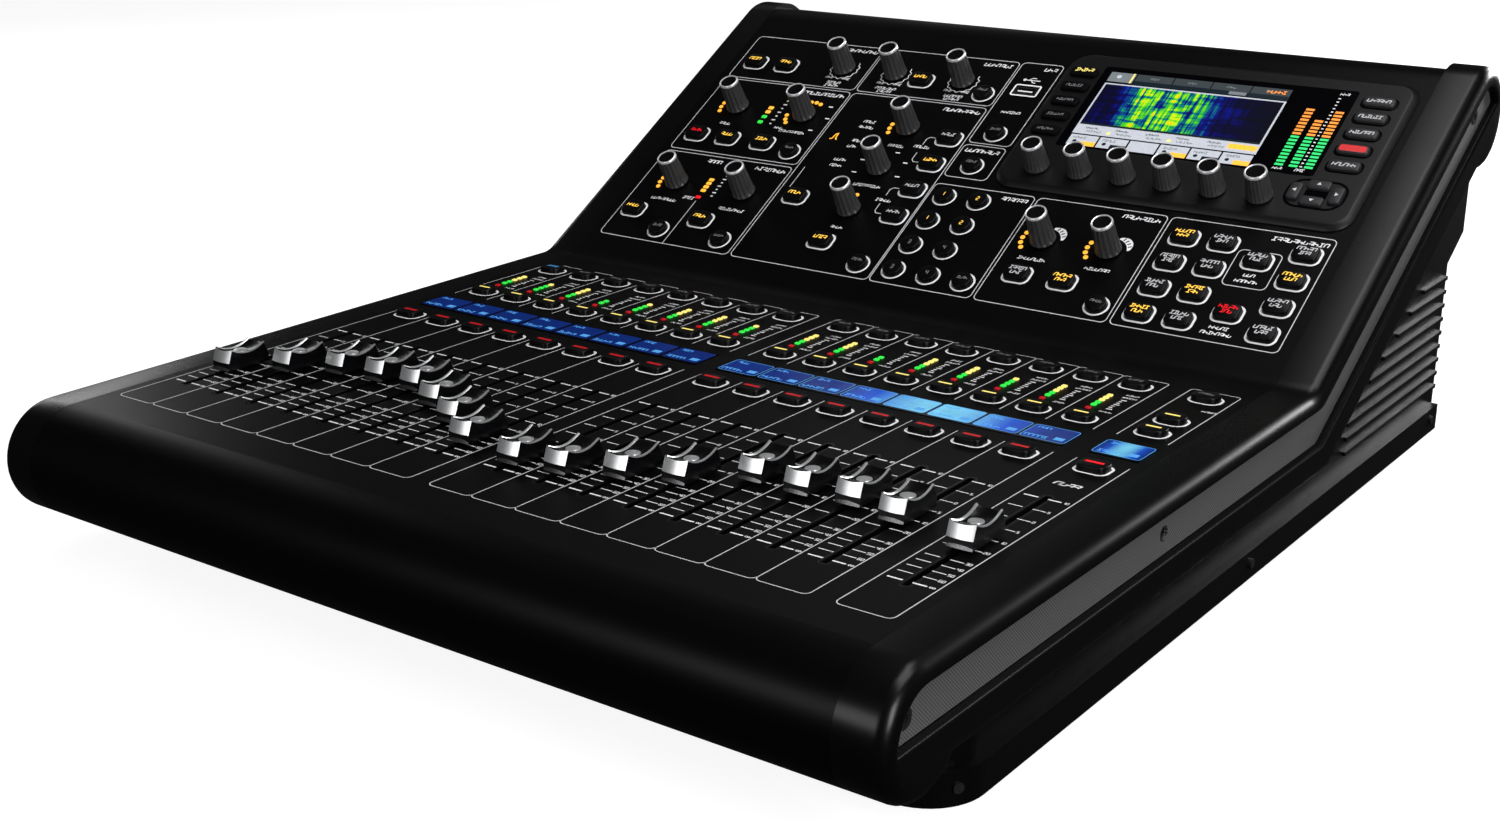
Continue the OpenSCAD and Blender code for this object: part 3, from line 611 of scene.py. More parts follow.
def round_end(centre, radius, start, end, steps=22):
    """Points on a circle in the YZ plane, from start to end degrees above +Y."""
    points = []
    for i in range(steps + 1):
        a = math.radians(start + (end - start) * i / steps)
        points.append((centre[0] + radius * math.cos(a), centre[1] + radius * math.sin(a)))
    return points


def band_loop(top_bed, top_slope, low_bed, low_slope, grow=0.0):
    """Outline of a band along the cheek between two depths, from the top of the nose
    round the front, along its lower edge, round the rear curl and back along the top."""
    nose = (NOSE_Y, -NOSE_R)
    curl = slope_point(SLOPE_LEN, CURL_R)
    nose_r = NOSE_R - top_bed + grow
    curl_r = CURL_R - top_slope + grow
    low_bed, low_slope = low_bed + grow, low_slope + grow
    top_bed, top_slope = top_bed - grow, top_slope - grow
    front = math.degrees(math.asin(max(-1, min(1, (NOSE_R - low_bed) / nose_r))))
    rear = math.degrees(math.asin(max(-1, min(1, (CURL_R - low_slope) / curl_r))))
    tilt = math.degrees(TILT)
    front_end = 180 - front if low_bed < NOSE_R * 1.3 else 360 + front
    rear_start = rear if low_slope < CURL_R * 1.3 else -180 - rear
    points = round_end(nose, nose_r, 90, front_end, 40)
    points.append(bend(low_bed, low_slope))
    points += round_end(curl, curl_r, rear_start + tilt, 90 + tilt, 40)
    fold = bend(top_bed, top_slope)
    points += [(fold[0] + 6 * math.cos(TILT), fold[1] + 6 * math.sin(TILT))]
    points += [(fold[0] + 2 * math.cos(TILT), fold[1] + 2 * math.sin(TILT) + FOLD_FILL)]
    points += [(fold[0] - 2, fold[1] + FOLD_FILL), (fold[0] - 6, fold[1])]
    return points


# Depths of a cheek's bands below the bed and the slope: top and low edge of each
CHEEK_BAND = (0, 0, 44.5, 49)
STRIP_BAND = (8.7, 11, 28, 30)
CHEEK_EDGE = 6.5
STRIP_EDGE = 1.6
STRIP_FLOOR_X = HALF_W - 5.5
# Height of the small fillet where bed and slope meet on top of a cheek
FOLD_FILL = 0.25


def cheek(side):
    """A cheek with a round outer edge and a recess for its side strip."""
    bm = bmesh.new()

    def ring(points, x):
        return [bm.verts.new((side * x * MM, y * MM, (z + BED_Z) * MM)) for y, z in points]

    def join(a, b):
        for i in range(len(a)):
            j = (i + 1) % len(a)
            bm.faces.new((a[i], a[j], b[j], b[i]))

    outer = [ring(band_loop(*CHEEK_BAND), SHELL_X)]
    for i in range(7):
        a = math.pi / 2 * i / 6
        inset = CHEEK_EDGE * (1 - math.cos(a))
        outer.append(ring(band_loop(*CHEEK_BAND, -inset),
                          HALF_W - CHEEK_EDGE * (1 - math.sin(a))))
    for a, b in zip(outer, outer[1:]):
        join(a, b)
    inner = []
    for i in range(4):
        a = math.pi / 2 * i / 3
        grow = STRIP_EDGE * (1 - math.sin(a))
        inner.append(ring(band_loop(*STRIP_BAND, grow),
                          HALF_W - STRIP_EDGE * (1 - math.cos(a))))
    inner.append(ring(band_loop(*STRIP_BAND), STRIP_FLOOR_X))
    for a, b in zip(inner, inner[1:]):
        join(a, b)
    rims = []
    for loop in (outer[-1], inner[0]):
        for i in range(len(loop)):
            rims.append(bm.edges.get((loop[i], loop[(i + 1) % len(loop)])))
    bmesh.ops.triangle_fill(bm, edges=rims, use_beauty=True)
    bm.faces.new(inner[-1])
    bm.faces.new(outer[0])
    bmesh.ops.recalc_face_normals(bm, faces=bm.faces)
    name = "cheek_right" if side > 0 else "cheek_left"
    mesh = bpy.data.meshes.new(name)
    bm.to_mesh(mesh)
    bm.free()
    hidden = "right_cheek" if side > 0 else "left_cheek"
    add_piece(name, mesh, "cheek", "console", (hidden,), smooth=True)


# ---- keys -----------------------------------------------------------------------------

def key_loop(u, v, w, d, r):
    return lambda inset: rounded_loop(u, v, w - 2 * inset, d - 2 * inset, r - inset)


def round_loop(u, v, r):
    return lambda inset: circle_loop(u, v, r - inset)


def key_caps(name, places, surface, body, corner=SQUARE_CORNER):
    caps = Shape(surface)
    for u, v in places:
        caps.pad(key_loop(u, v, KEY_W, KEY_D, corner), -KEY_ROOT, KEY_PROUD, 0.55)
    caps.piece(name, "key", body, (body,), smooth=True)


def key_rings(name, places, surface, corner=SQUARE_CORNER):
    """Printed white rings round rectangular keys."""
    rings = Shape(surface, RING_H)
    reach = 0.25 + RING_W / 2
    for u, v in places:
        loop = rounded_loop(u, v, KEY_W + 2 * reach, KEY_D + 2 * reach, corner + reach)
        rings.stroke(loop, RING_W, closed=True)
    rings.piece(name, "white", "console")


def strip_keys():
    select = centres("strip_select_keys", BED)
    solo = centres("strip_solo_keys", BED)
    mute = centres("strip_mute_keys", BED)
    key_caps("select_caps", select, BED, "strip_select_keys", ROUND_CORNER)
    key_caps("solo_caps", solo, BED, "strip_solo_keys", ROUND_CORNER)
    key_caps("mute_caps", mute, BED, "strip_mute_keys")
    key_rings("strip_rings", select + solo, BED, ROUND_CORNER)
    key_rings("mute_rings", mute, BED)
    first = near(select, STRIPS[0], 289)
    names, lit_name, solo_marks, mute_marks, main_mark = (
        Shape(BED, LEGEND_H) for _ in range(5))
    for u, v in select:
        (lit_name if (u, v) == first else names).glyphs(u, v + 0.6, 4, 1.9, seed=u)
    for u, v in solo:
        solo_marks.bar(u, v + 0.8, 7.2, 1.5)
    for u, v in mute:
        (mute_marks if u < MAIN_X - PITCH / 2 else main_mark).bar(u, v + 0.8, 8.6, 2.0)
    names.piece("select_legends", "dim", "strip_select_keys")
    lit_name.piece("select_lit_legend", "blue", "strip_select_keys")
    solo_marks.piece("solo_legends", "yellow", "strip_solo_keys")
    mute_marks.piece("mute_legends", "dark_red", "strip_mute_keys")
    main_mark.piece("mute_main_legend", "red", "strip_mute_keys")


# Section keys whose legends are lit, by place on the panel
AMBER_KEYS = [(-198.5, 164.5), (-175, 164.5), (-76.7, 164.5), (-32.6, 95.2),
              (-175.6, 93.5), (-149.6, 93.5), (133.9, 67.3), (-101.3, 53.6),
              (198.8, 48.3), (155.3, 29.3), (-200.2, 23), (-150.2, 23), (-65.3, 22.5),
              (85.2, 22.5), (133.9, 10.3)]
RED_KEYS = [(-199, 93.5), (177, 20)]
TWO_LINE_X = 50


def panel_keys():
    keys = centres("section_keys", PANEL)
    rounds = centres("round_keys", PANEL)
    key_caps("section_caps", keys, PANEL, "section_keys")
    key_rings("section_rings", keys, PANEL)
    caps = Shape(PANEL)
    rings = Shape(PANEL, RING_H)
    for u, v in rounds:
        caps.pad(round_loop(u, v, ROUND_KEY_R), -KEY_ROOT, KEY_PROUD, 0.5)
        rings.ring(u, v, ROUND_KEY_R + 0.35, ROUND_KEY_R + 0.35 + RING_W * 0.9)
    caps.piece("round_caps", "key", "round_keys", ("round_keys",), smooth=True)
    rings.piece("round_rings", "white", "console")
    amber = [near(keys, *p) for p in AMBER_KEYS]
    red = [near(keys, *p) for p in RED_KEYS]
    shapes = {look: Shape(PANEL, LEGEND_H) for look in ("yellow", "red", "dim")}
    for u, v in keys:
        look = "yellow" if (u, v) in amber else "red" if (u, v) in red else "dim"
        if u > TWO_LINE_X:
            shapes[look].glyphs(u, v + 2.3, 5, 2.1, seed=u + v)
            shapes[look].glyphs(u, v - 0.9, 3, 2.1, seed=u - v)
        else:
            shapes[look].glyphs(u, v + 0.9, 4, 2.2, seed=u + v)
    shapes["yellow"].piece("section_lit_legends", "gold", "section_keys")
    shapes["red"].piece("section_red_legends", "red", "section_keys")
    shapes["dim"].piece("section_legends", "grey", "section_keys")
    legends, lit = Shape(PANEL, LEGEND_H), Shape(PANEL, LEGEND_H)
    for u, v in rounds:
        numbered = abs(u) < 13 and v < 75
        if numbered and v > 45:
            numeral(lit, "2" if u > 0 else "1", u - 0.5, v, 2.6)
        elif numbered:
            numeral(legends, "4" if u > 0 else "3", u - 0.5, v, 2.6)
        else:
            legends.glyphs(u, v + 1, 4, 1.6, seed=u)
    legends.piece("round_legends", "dim", "round_keys")
    lit.piece("round_lit_legends", "gold", "round_keys")


# Width, depth and corner of a key beside the display
PAGE_KEY = (17.2, 7.2, 2.6)


def page_keys():
    """Keys beside the display and the arrow keys: grey on the right; on the left the same keys
    drawn black with dim legends, a painted shade for the darker left of the display.
    """
    places = centres("page_keys", PANEL)
    top = BEZEL_H + 1.9
    nav = [p for p in places if p[1] < 122]
    left = [p for p in places if p not in nav and p[0] < 100]
    right = [p for p in places if p not in nav and p[0] > 100]
    red = near(right, 195, 144)
    grey, black, lit_key = Shape(PANEL), Shape(PANEL), Shape(PANEL)
    gap_shade, legends = Shape(PANEL, BEZEL_H + 0.05), Shape(PANEL, top + 0.05)
    shaded_faint = Shape(PANEL, top + 0.05)
    for u, v in right:
        grey.pad(key_loop(u, v, *PAGE_KEY), BEZEL_H - 2, top, 1.0)
        # Dark stroke round each key: painted shade of the gap between key and bezel
        gap_shade.stroke(rounded_loop(u, v, 18.6, 8.6, 3.2), 1.3, closed=True)
        if (u, v) == red:
            lit_key.pad(key_loop(u, v, 14.4, 4.6, 1.4), top - 0.2, top + 0.15, 0.15, 1)
        else:
            legends.glyphs(u, v, 6, 2.2, seed=v)
    lit_legend = Shape(PANEL, top + 0.05)
    lit_legend.glyphs(left[0][0], near(left, 0, 190)[1] + 1, 5, 2.4, seed=3)
    # The left keys' black caps and dim legends are painted shade: they are the same grey keys
    # as on the right
    for u, v in left:
        black.pad(key_loop(u, v, *PAGE_KEY), BEZEL_H - 2, top, 1.0)
        if (u, v) != near(left, 0, 190):
            shaded_faint.glyphs(u, v, 6, 1.7, seed=v)
    middle = (sum(p[0] for p in nav) / 4, sum(p[1] for p in nav) / 4)
    for u, v in nav:
        du, dv = u - middle[0], v - middle[1]
        wide = abs(dv) > abs(du)
        w, d = (12.4, 6.6) if wide else (6.6, 12.4)
        grey.pad(key_loop(u, v, w, d, 2.0), BEZEL_H - 2, top, 1.0)
        ahead = Vector((du, dv)).normalized()
        tip = Vector((u, v)) + ahead * 1.2
        side = Vector((-ahead.y, ahead.x)) * 1.3
        back = tip - ahead * 2.0
        legends.face([tuple(tip), tuple(back + side), tuple(back - side)])
    # Dark ring round the arrow keys and bar between them: painted shade of their gaps
    gap_shade.stroke(rounded_loop(middle[0], middle[1], 30.5, 20.5, 8), 1.6, closed=True)
    gap_shade.bar(middle[0], middle[1], 12, 5.4)
    grey.piece("page_caps", "page_key", "page_keys", ("page_keys",), smooth=True)
    black.piece("page_caps_painted_shade", "disc", "page_keys", smooth=True)
    lit_key.piece("page_cap_lit", "key_red", "page_keys", smooth=True)
    shaded_faint.piece("page_shaded_faint_legends", "dim", "page_keys")
    gap_shade.piece("page_gap_shade", "glass", "console")
    legends.piece("page_legends", "grey", "page_keys")
    lit_legend.piece("page_lit_legend", "yellow", "page_keys")


# ---- knobs ----------------------------------------------------------------------------

def lathe(name, surface, u, v, profile, look, body, hides=(), steps=56, flutes=0,
          closed=True):
    """Turns a profile of (radius, height, flute depth) about the surface's normal."""
    shape = Shape(surface)
    rings = []
    for r, h, depth in profile:
        points = []
        for i in range(steps):
            a = 2 * math.pi * i / steps
            cut = depth * (0.5 + 0.5 * math.cos(a * flutes)) if flutes else 0.0
            points.append((u + (r - cut) * math.cos(a), v + (r - cut) * math.sin(a)))
        rings.append(shape.loop(points, h))
    for a, b in zip(rings, rings[1:]):
        shape.bridge(a, b)
    if closed:
        shape.faces.append(rings[-1])
    return shape.piece(name, look, body, hides, smooth=True)


def knob(node, body, at, foot, flutes, depth):
    u, v, _ = PANEL.where(at)
    top = KNOB_R - 1.25
    high = KNOB_H - 1.6
    grip = [(KNOB_R - 0.3, foot + 0.8, 0.0), (KNOB_R, foot + 1.2, 0.0),
            (KNOB_R, foot + 2.2, depth), (KNOB_R - 0.35, foot + 3.0, depth)]
    for i in range(1, 5):
        k = i / 4
        grip.append((KNOB_R - 0.35 + (top - KNOB_R + 0.35) * k,
                     foot + 3.0 + (high - foot - 3.0) * k, depth * (1 - 0.5 * k)))
    grip.append((top - 0.5, high + 0.1, 0.0))
    steps = 112 if flutes else 48
    lathe("grip_" + body, PANEL, u, v, grip, "knob", body, (node,), steps, flutes)
    rim = [(top - 0.15, high - 0.15, 0), (top + 0.12, high + 0.2, 0),
           (top + 0.05, KNOB_H - 0.5, 0), (top - 0.2, KNOB_H - 0.15, 0),
           (top - 0.55, KNOB_H, 0), (top - 0.95, KNOB_H - 0.15, 0),
           (top - 1.05, KNOB_H - 0.9, 0)]
    lathe("rim_" + body, PANEL, u, v, rim, "ring", body, (), 48, closed=False)
    disc = [(top - 1.0, KNOB_H - 0.6, 0), (top - 1.6, KNOB_H - 0.75, 0),
            (0.4, KNOB_H - 0.8, 0)]
    lathe("disc_" + body, PANEL, u, v, disc, "disc", body, (), 40)
    return u, v


def knobs():
    joints = {j["child"]: j["pos_m"] for j in frame["joints"] if j["type"] == "hinge"}
    places = {}
    for body in sorted(joints):
        if body == "rocker":
            continue
        on_display = body.startswith("display")
        node = "knob_" + body[:-5]
        foot = BEZEL_H if on_display else 0.0
        flutes, depth = (20, 0.35) if on_display else (14, 0.7)
        places[body[:-5]] = knob(node, body, joints[body], foot, flutes, depth)
    return places


# ---- fader caps -----------------------------------------------------------------------

CAP_W = 11.8
CAP_LEN = 24.6
CAP_TOP = 19.6
CAP_LIFT = 1.2
CAP_H = 10.2
SAG = 2.6
PLATE_LOW = 5.3


def saddle(y):
    """Height of the cap's hollow top at a distance y from its middle."""
    half = CAP_TOP / 2 - 0.4
    r = (half * half + SAG * SAG) / (2 * SAG)
    return CAP_LIFT + CAP_H - SAG + r - math.sqrt(max(0.0, r * r - min(abs(y), half) ** 2))


def cap_side(z):
    """Half length of the cap at a height z above the bed."""
    k = (z - CAP_LIFT) / CAP_H
    taper = (CAP_LEN - CAP_TOP) / 2 * max(0, k - 0.35) / 0.65
    return CAP_LEN / 2 - 0.6 + 0.6 * min(1, k * 3) - taper


def fader_cap(i):
    name = f"fader_cap_{i + 1}"
    body = f"fader_{i + 1}"
    low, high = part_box(name)
    u = (low[0] + high[0]) / 2 / MM
    v = (low[1] + high[1]) / 2 / MM - STRIP_Y
    half = CAP_W / 2
    shape = Shape(BED)
    # Black body: rows across at each place along its length, between skirt and saddle
    rows = []
    for step in range(-8, 9):
        k = math.sin(math.pi / 2 * step / 8)
        y, top_y = CAP_LEN / 2 * k, CAP_TOP / 2 * k
        sides = []
        for side in (-1, 1):
            sides.append([(u + side * (half - 0.15), v + y * 0.985, CAP_LIFT),
                          (u + side * half, v + y, CAP_LIFT + 3.4),
                          (u + side * (half - 0.1), v + top_y, saddle(top_y) - 0.25),
                          (u + side * (half - 1.1), v + top_y, saddle(top_y) - 0.75)])
        rows.append(sides[0] + sides[1][::-1])
    lines = shape.sheet(rows)
    shape.faces += [lines[0], lines[-1][::-1]]
    shape.piece("cap_body_" + str(i + 1), "cap_black", body, (name,), smooth=True)

    silver, skirt = Shape(BED), Shape(BED)
    across = [col / 6 for col in range(-6, 7)]
    # End plates, bowed outwards, over the upper half of each end, and skirts below them
    for end in (-1, 1):
        plate_top = CAP_LIFT + CAP_H - (0.7 if end > 0 else 0)
        rows = []
        for row in range(7):
            line = []
            for x in across:
                crown = 1 - x ** 2
                z = PLATE_LOW + (plate_top - PLATE_LOW) * row / 6
                z -= 0.75 * crown * (row / 6) ** 2
                line.append((u + half * x, v + end * (cap_side(z) + 0.75 * crown + 0.05), z))
            rows.append(line)
        silver.sheet(rows, end > 0)
        rows = []
        for row in range(6):
            out = CAP_LEN / 2 + 0.25 - 1.1 * math.sin(row / 5 * math.pi / 2)
            rows.append([(u + (half - 0.1) * x, v + end * (out + 0.3 * (1 - x ** 2)),
                          CAP_LIFT + 0.2 + 4.0 * row / 5) for x in across])
        skirt.sheet(rows, end > 0)
    # The skirts use the darkened silver, a painted shade
    skirt.piece("cap_skirt_" + str(i + 1), "skirt", body, smooth=True)
    # Bright edges along both sides of the hollow
    for side in (-1, 1):
        rows = []
        for k in range(-10, 11):
            y = CAP_TOP / 2 * k / 10
            z = saddle(y)
            edge = ((half + 0.02, z - 0.55), (half + 0.02, z), (half - 0.75, z + 0.05),
                    (half - 1.15, z - 0.5))
            rows.append([(u + side * x, v + y, height) for x, height in edge])
        silver.sheet(rows, side > 0)
    silver.piece("cap_trim_" + str(i + 1), "silver", body, smooth=True)
    disc = Shape(BED)
    disc.pad(round_loop(u, v, 3.3), saddle(0) - 1.2, saddle(0) - 0.15, 0.3, 2)
    disc.piece("cap_disc_" + str(i + 1), "silver", body, smooth=True)


# ---- print on the fader bed -----------------------------------------------------------

SCALE = [("", 31.3), ("60", 38.3), ("50", 44.7), ("40", 51.1), ("30", 57.5), ("20", 70.5),
         ("10", 83.0), ("5", 95.8), ("0", 108.3), ("5", 120.8), ("10", 133.8)]
STRIP_BREAK = 185.0
UPPER_START = 222.0
UPPER_END = 301.4
CELL_V = 204.3
FADER_TRAVEL = 102


def strip_edges():
    """Left edge and width of each strip."""
    edges = [(x - PITCH / 2, PITCH) for x in STRIPS[:16]]
    return edges + [(MAIN_X - MAIN_W / 2, MAIN_W)]


def bed_lines():
    """Boxes round the strips, open where the displays are; neighbours share a line."""
    lines = Shape(BED)
    r = 3.0
    edges = strip_edges()
    for i, (left, w) in enumerate(edges):
        right = left + w
        front = [(left, r)] + arc_points(left + r, r, r, -90, -180, 5)
        front += arc_points(right - r, r, r, 180, 90, 5) + [(right, r)]
        lines.stroke(front, LINE_W)
        rear = [(left, UPPER_END - 2)] + arc_points(left + 2, UPPER_END - 2, 2, -90, 0, 4)
        rear += arc_points(right - 2, UPPER_END - 2, 2, 0, 90, 4)
        lines.stroke(rear + [(right, UPPER_END - 2)], LINE_W)
        ends = [left, right] if i in (7, 15, 16) else [left]
        for u in ends:
            lines.stroke([(u, r), (u, STRIP_BREAK)], LINE_W)
            lines.stroke([(u, UPPER_START), (u, UPPER_END - 2)], LINE_W)
    lines.piece("strip_outlines", "grey", "console")


def bed_scales():
    marks = Shape(BED)
    bold = (SCALE[0], SCALE[-1])
    for left, _ in strip_edges():
        for row in SCALE:
            text, v = row
            thick = 0.95 if row in bold else 0.55
            marks.bar(left + 5.8, v, 6.6, thick)
            marks.bar(left + 16.4, v, 6.0, thick)
            if text:
                numeral(marks, text, left + 20.2, v, 1.9)
            else:
                marks.ring(left + 21.0, v, 0.35, 0.75, 10)
                marks.ring(left + 22.2, v, 0.35, 0.75, 10)
    marks.piece("fader_scales", "white", "console")


def fader_slots():
    slots = Shape(BED, 0.03)
    for u in STRIPS:
        slot = rounded_loop(u, SCALE[0][1] + FADER_TRAVEL / 2, 4.4, 112, 2.0)
        slots.stroke(slot, 0.8, closed=True)
    slots.piece("slot_edges", "cap_black", "console")


def strip_meters():
    """Small level meters and their scales beside the keys of each strip."""
    ladder = [252.8, 256.9, 261.0, 265.1, 269.0]
    looks = {look: Shape(BED, 0.5) for look in ("green", "yellow", "dark_red")}
    scale = Shape(BED)
    for i, (left, _) in enumerate(strip_edges()[:16]):
        u = left + 8.3
        lit = 2 if i % 7 == 3 else 5 - (i * 5 % 3) // 2
        for k, v in enumerate(ladder[:lit]):
            look = "green" if k < 2 + (i % 3 == 1) else "yellow"
            looks[look].pad(key_loop(u, v, 2.5, 2.7, 0.5), 0.0, 0.7, 0.2, 1)
        looks["dark_red"].pad(key_loop(u, 247.3, 2.5, 2.5, 0.5), 0.0, 0.7, 0.2, 1)
        for k in range(7):
            w = 3.0 if k % 3 == 0 else 1.9
            scale.bar(left + 15.2 + w / 2, 251.2 + 2.5 * k, w, 0.95)
        scale.glyphs(left + 17.4, 246.4, 4, 1.5, seed=i)
        scale.glyphs(left + 17.4, 270.2, 5, 1.5, seed=i + 1)
        scale.glyphs(left + 17.4, 274.4, 4, 1.5, seed=i + 2)
    add_pieces("meter_", looks)
    scale.piece("meter_scales", "white", "console")


def main_strip_labels():
    marks = Shape(BED)
    marks.glyphs(MAIN_X, 153, 4, 3.2, seed=5)
    marks.glyphs(MAIN_X + 8.5, 273, 4, 1.7, seed=6)
    marks.piece("main_labels", "white", "console")


def scribble_cells():
    """Blue displays with paler rows of marks, and blue lit edges round the cells of the second
    bank and the main strip.
    """
    cells = {look: Shape(BED, 0.36) for look in CELLS}
    marks, borders = Shape(BED, 0.42), Shape(BED, 0.42)
    for i, (left, w) in enumerate(strip_edges()):
        look = "cells_main" if i == 16 else "cells_1" if i < 8 else "cells_2"
        u = left + w / 2
        cells[look].face(rounded_loop(u, CELL_V, w - 1.9, 17.4, 1.6))
        marks.glyphs(u - 5.5, 210.0, 3, 2.2, lean=0, seed=i)
        marks.glyphs(u - 4.0, 198.6, 5, 2.4, lean=0, seed=i + 9)
        marks.bar(u + 6.6, 200.0, 4.6, 3.6)
        if i >= 8:
            borders.stroke(rounded_loop(u, CELL_V, w - 1.7, 17.6, 1.7), 0.35, closed=True)
    add_pieces("scribble_", cells)
    marks.piece("scribble_marks", "blue", "console")
    borders.piece("scribble_borders", "blue", "console")


# ---- print on the control panel -------------------------------------------------------

# Printed boxes: left, right, bottom and top on the panel
BOXES = [(-210.9, -116.4, 149.2, 190), (-114.8, -21.9, 149.2, 190),
         (-210.9, -116.4, 79.2, 147.1), (-114.8, -22.4, 0, 147.1),
         (-211.0, -116.9, 0, 76.6), (-20.3, 6.7, 117.5, 190.6),
         (-20.8, 6.2, 87.9, 115.5), (-21.4, 41.5, 0, 81.2), (43.5, 119.6, 0, 81.2),
         (121.7, 210.1, 0, 81.2), (165.1, 188.1, 39.3, 65.4)]
# Section titles: right end, height up the panel, marks
TITLES = [(-119, 185.5, 8), (-25, 185.5, 7), (-119, 142.6, 11), (-25, 142.4, 9),
          (-166, 72, 4), (-119.5, 72, 8), (4, 186, 3), (3.4, 111, 8), (38.5, 76.5, 6),
          (117, 76.5, 8), (207.4, 76.3, 11)]
# Labels under knobs and keys: middle, height up the panel, marks
LABELS = [(-186, 106.3, 4), (-136, 106.3, 9), (-186, 35.2, 9), (-136, 35.2, 9),
          (-62.3, 106.3, 5), (-62.3, 71, 9), (-62.3, 35.2, 4), (61, 35.2, 8),
          (99.2, 35.2, 7), (-6.8, 146, 6), (-134, 154.3, 5), (-134, 151.6, 5),
          (-96.2, 154.3, 7), (-96.2, 151.6, 5), (-49.4, 154.3, 6), (-49.4, 151.6, 5),
          (176.8, 48, 3), (176.8, 43.5, 6), (176.6, 9.8, 5), (176.6, 5.8, 8),
          (-90, 123.6, 4), (-90, 118.5, 5), (-90, 106.3, 3), (-90, 101.2, 3),
          (-91, 88.9, 4), (-91, 83.8, 4), (-46, 108.3, 5), (-46, 61.5, 5),
          (-170, 39.4, 4), (-147, 108.5, 3)]


def panel_lines():
    lines = Shape(PANEL)
    for left, right, low, high in BOXES:
        loop = rounded_loop((left + right) / 2, (low + high) / 2, right - left,
                            high - low, 3.0)
        lines.stroke(loop, LINE_W, closed=True)
    lines.stroke([(-163.4, 0), (-163.4, 37.8)], LINE_W)
    lines.stroke([(-109.8, 78.7), (-109.8, 61)], LINE_W)
    for v in (106.3, 61.6):
        lines.stroke([(-41.2, v + 10.8), (-45, v + 10.8), (-46.4, v + 9), (-46.4, v + 4)],
                     LINE_W)
        lines.stroke([(-46.4, v - 3), (-46.4, v - 9), (-45, v - 10.8), (-41.2, v - 10.8)],
                     LINE_W)
    lines.piece("section_outlines", "grey", "console")


def panel_labels():
    marks = Shape(PANEL)
    for right, v, count in TITLES:
        size = 2.5
        width = count * (size * 0.8 + 0.7)
        marks.glyphs(right - width / 2, v, count, size, 0.7, seed=v + right)
    for u, v, count in LABELS:
        marks.glyphs(u, v, count, 1.9, 0.5, seed=u + v)
    marks.piece("panel_labels", "white", "console")


def knob_marks(places):
    """Lamps, dial marks and collars round the knobs."""
    lamps = Shape(PANEL)
    marks = Shape(PANEL)
    gaps = Shape(PANEL, PRINT_H + 0.05)
    lit = {"preamp_gain": (-81, -98, -116), "low_cut": (-98, -116, -132, -10, 7, 24),
           "gate": (-81, -98, -116), "eq_width": (-81, -98, -116),
           "eq_gain": (-8,), "main_level": (-72, -90, -108, -126),
           "pan": (-72, -90, -108, -126)}
    for name, angles in lit.items():
        u, v = places[name]
        for angle in angles:
            lamps.pad(round_loop(*polar(u, v, 12.3, angle), 1.35), 0.0, 0.6, 0.3, 1)
    dashes = {"eq_frequency": (15.3, (-112, -70, 16, 62, 108)),
              "low_cut": (16.5, (52, 91, 137))}
    for name, (r, angles) in dashes.items():
        u, v = places[name]
        for angle in angles:
            marks.bar(*polar(u, v, r, angle), 3.0, 0.9)
    for name in ("talk_level", "monitor_level", "phones_level"):
        u, v = places[name]
        outline = []
        for angle in range(-130, 131, 5):
            r = 9.3 + 0.55 * math.cos(math.radians(angle) * 14)
            outline.append(polar(u, v, r, angle + 180))
        marks.stroke(outline, 0.5)
        marks.glyphs(u - 6, 158.8, 3, 1.7, seed=1)
        marks.glyphs(u + 6, 158.8, 3, 1.7, seed=2)
    for name in ("main_level", "pan"):
        u, v = places[name]
        inner, outer = [], []
        steps = 14
        for i in range(steps + 1):
            wide = 3.4 * math.sin(math.pi * (i + 1.5) / (steps + 3)) + 0.4
            inner.append(polar(u, v, 9.4, 12 + 66 * i / steps))
            outer.append(polar(u, v, 9.4 + wide, 12 + 66 * i / steps))
        marks.bridge(marks.loop(inner, PRINT_H), marks.loop(outer, PRINT_H), closed=False)
        for angle in (27, 39, 51, 63):
            gaps.stroke([polar(u, v, 9.9, angle), polar(u, v, 12.0, angle)], 0.7)
    gaps.piece("knob_mark_gaps", "disc", "console")
    lamps.piece("knob_lamps", "amber", "console")
    marks.piece("knob_marks", "white", "console")


def panel_meters():
    """Input and gain-reduction meters, and the equaliser's curve lamp."""
    looks = {look: Shape(PANEL) for look in ("green", "amber", "red")}
    for v, look in ((111.4, "green"), (116.4, "green"), (121, "amber"), (124.8, "amber")):
        looks[look].pad(key_loop(-162.4, v, 3.4, 2.5, 0.6), 0.0, 0.5, 0.2, 1)
    for k in range(5):
        look = "red" if k == 0 else "amber"
        v = 41 if k == 0 else 43.8 + 3.2 * k
        looks[look].pad(key_loop(-163.9, v, 3.4, 2.3, 0.6), 0.0, 0.5, 0.2, 1)
    curve = [(-108, 105), (-106.5, 105.6), (-105.8, 109.6), (-104.6, 110.4),
             (-104.2, 106), (-103, 105)]
    looks["amber"].stroke(curve, 0.8)
    add_pieces("panel_meter_", looks)
    scale = Shape(PANEL)
    for k in range(7):
        scale.bar(-154.6, 111.2 + 3.6 * k, 2.6 if k % 2 else 1.5, 1.0)
        scale.bar(-155.6, 43.6 + 3.0 * k, 2.6 if k % 2 else 1.5, 0.9)
    scale.piece("panel_meter_scales", "white", "console")


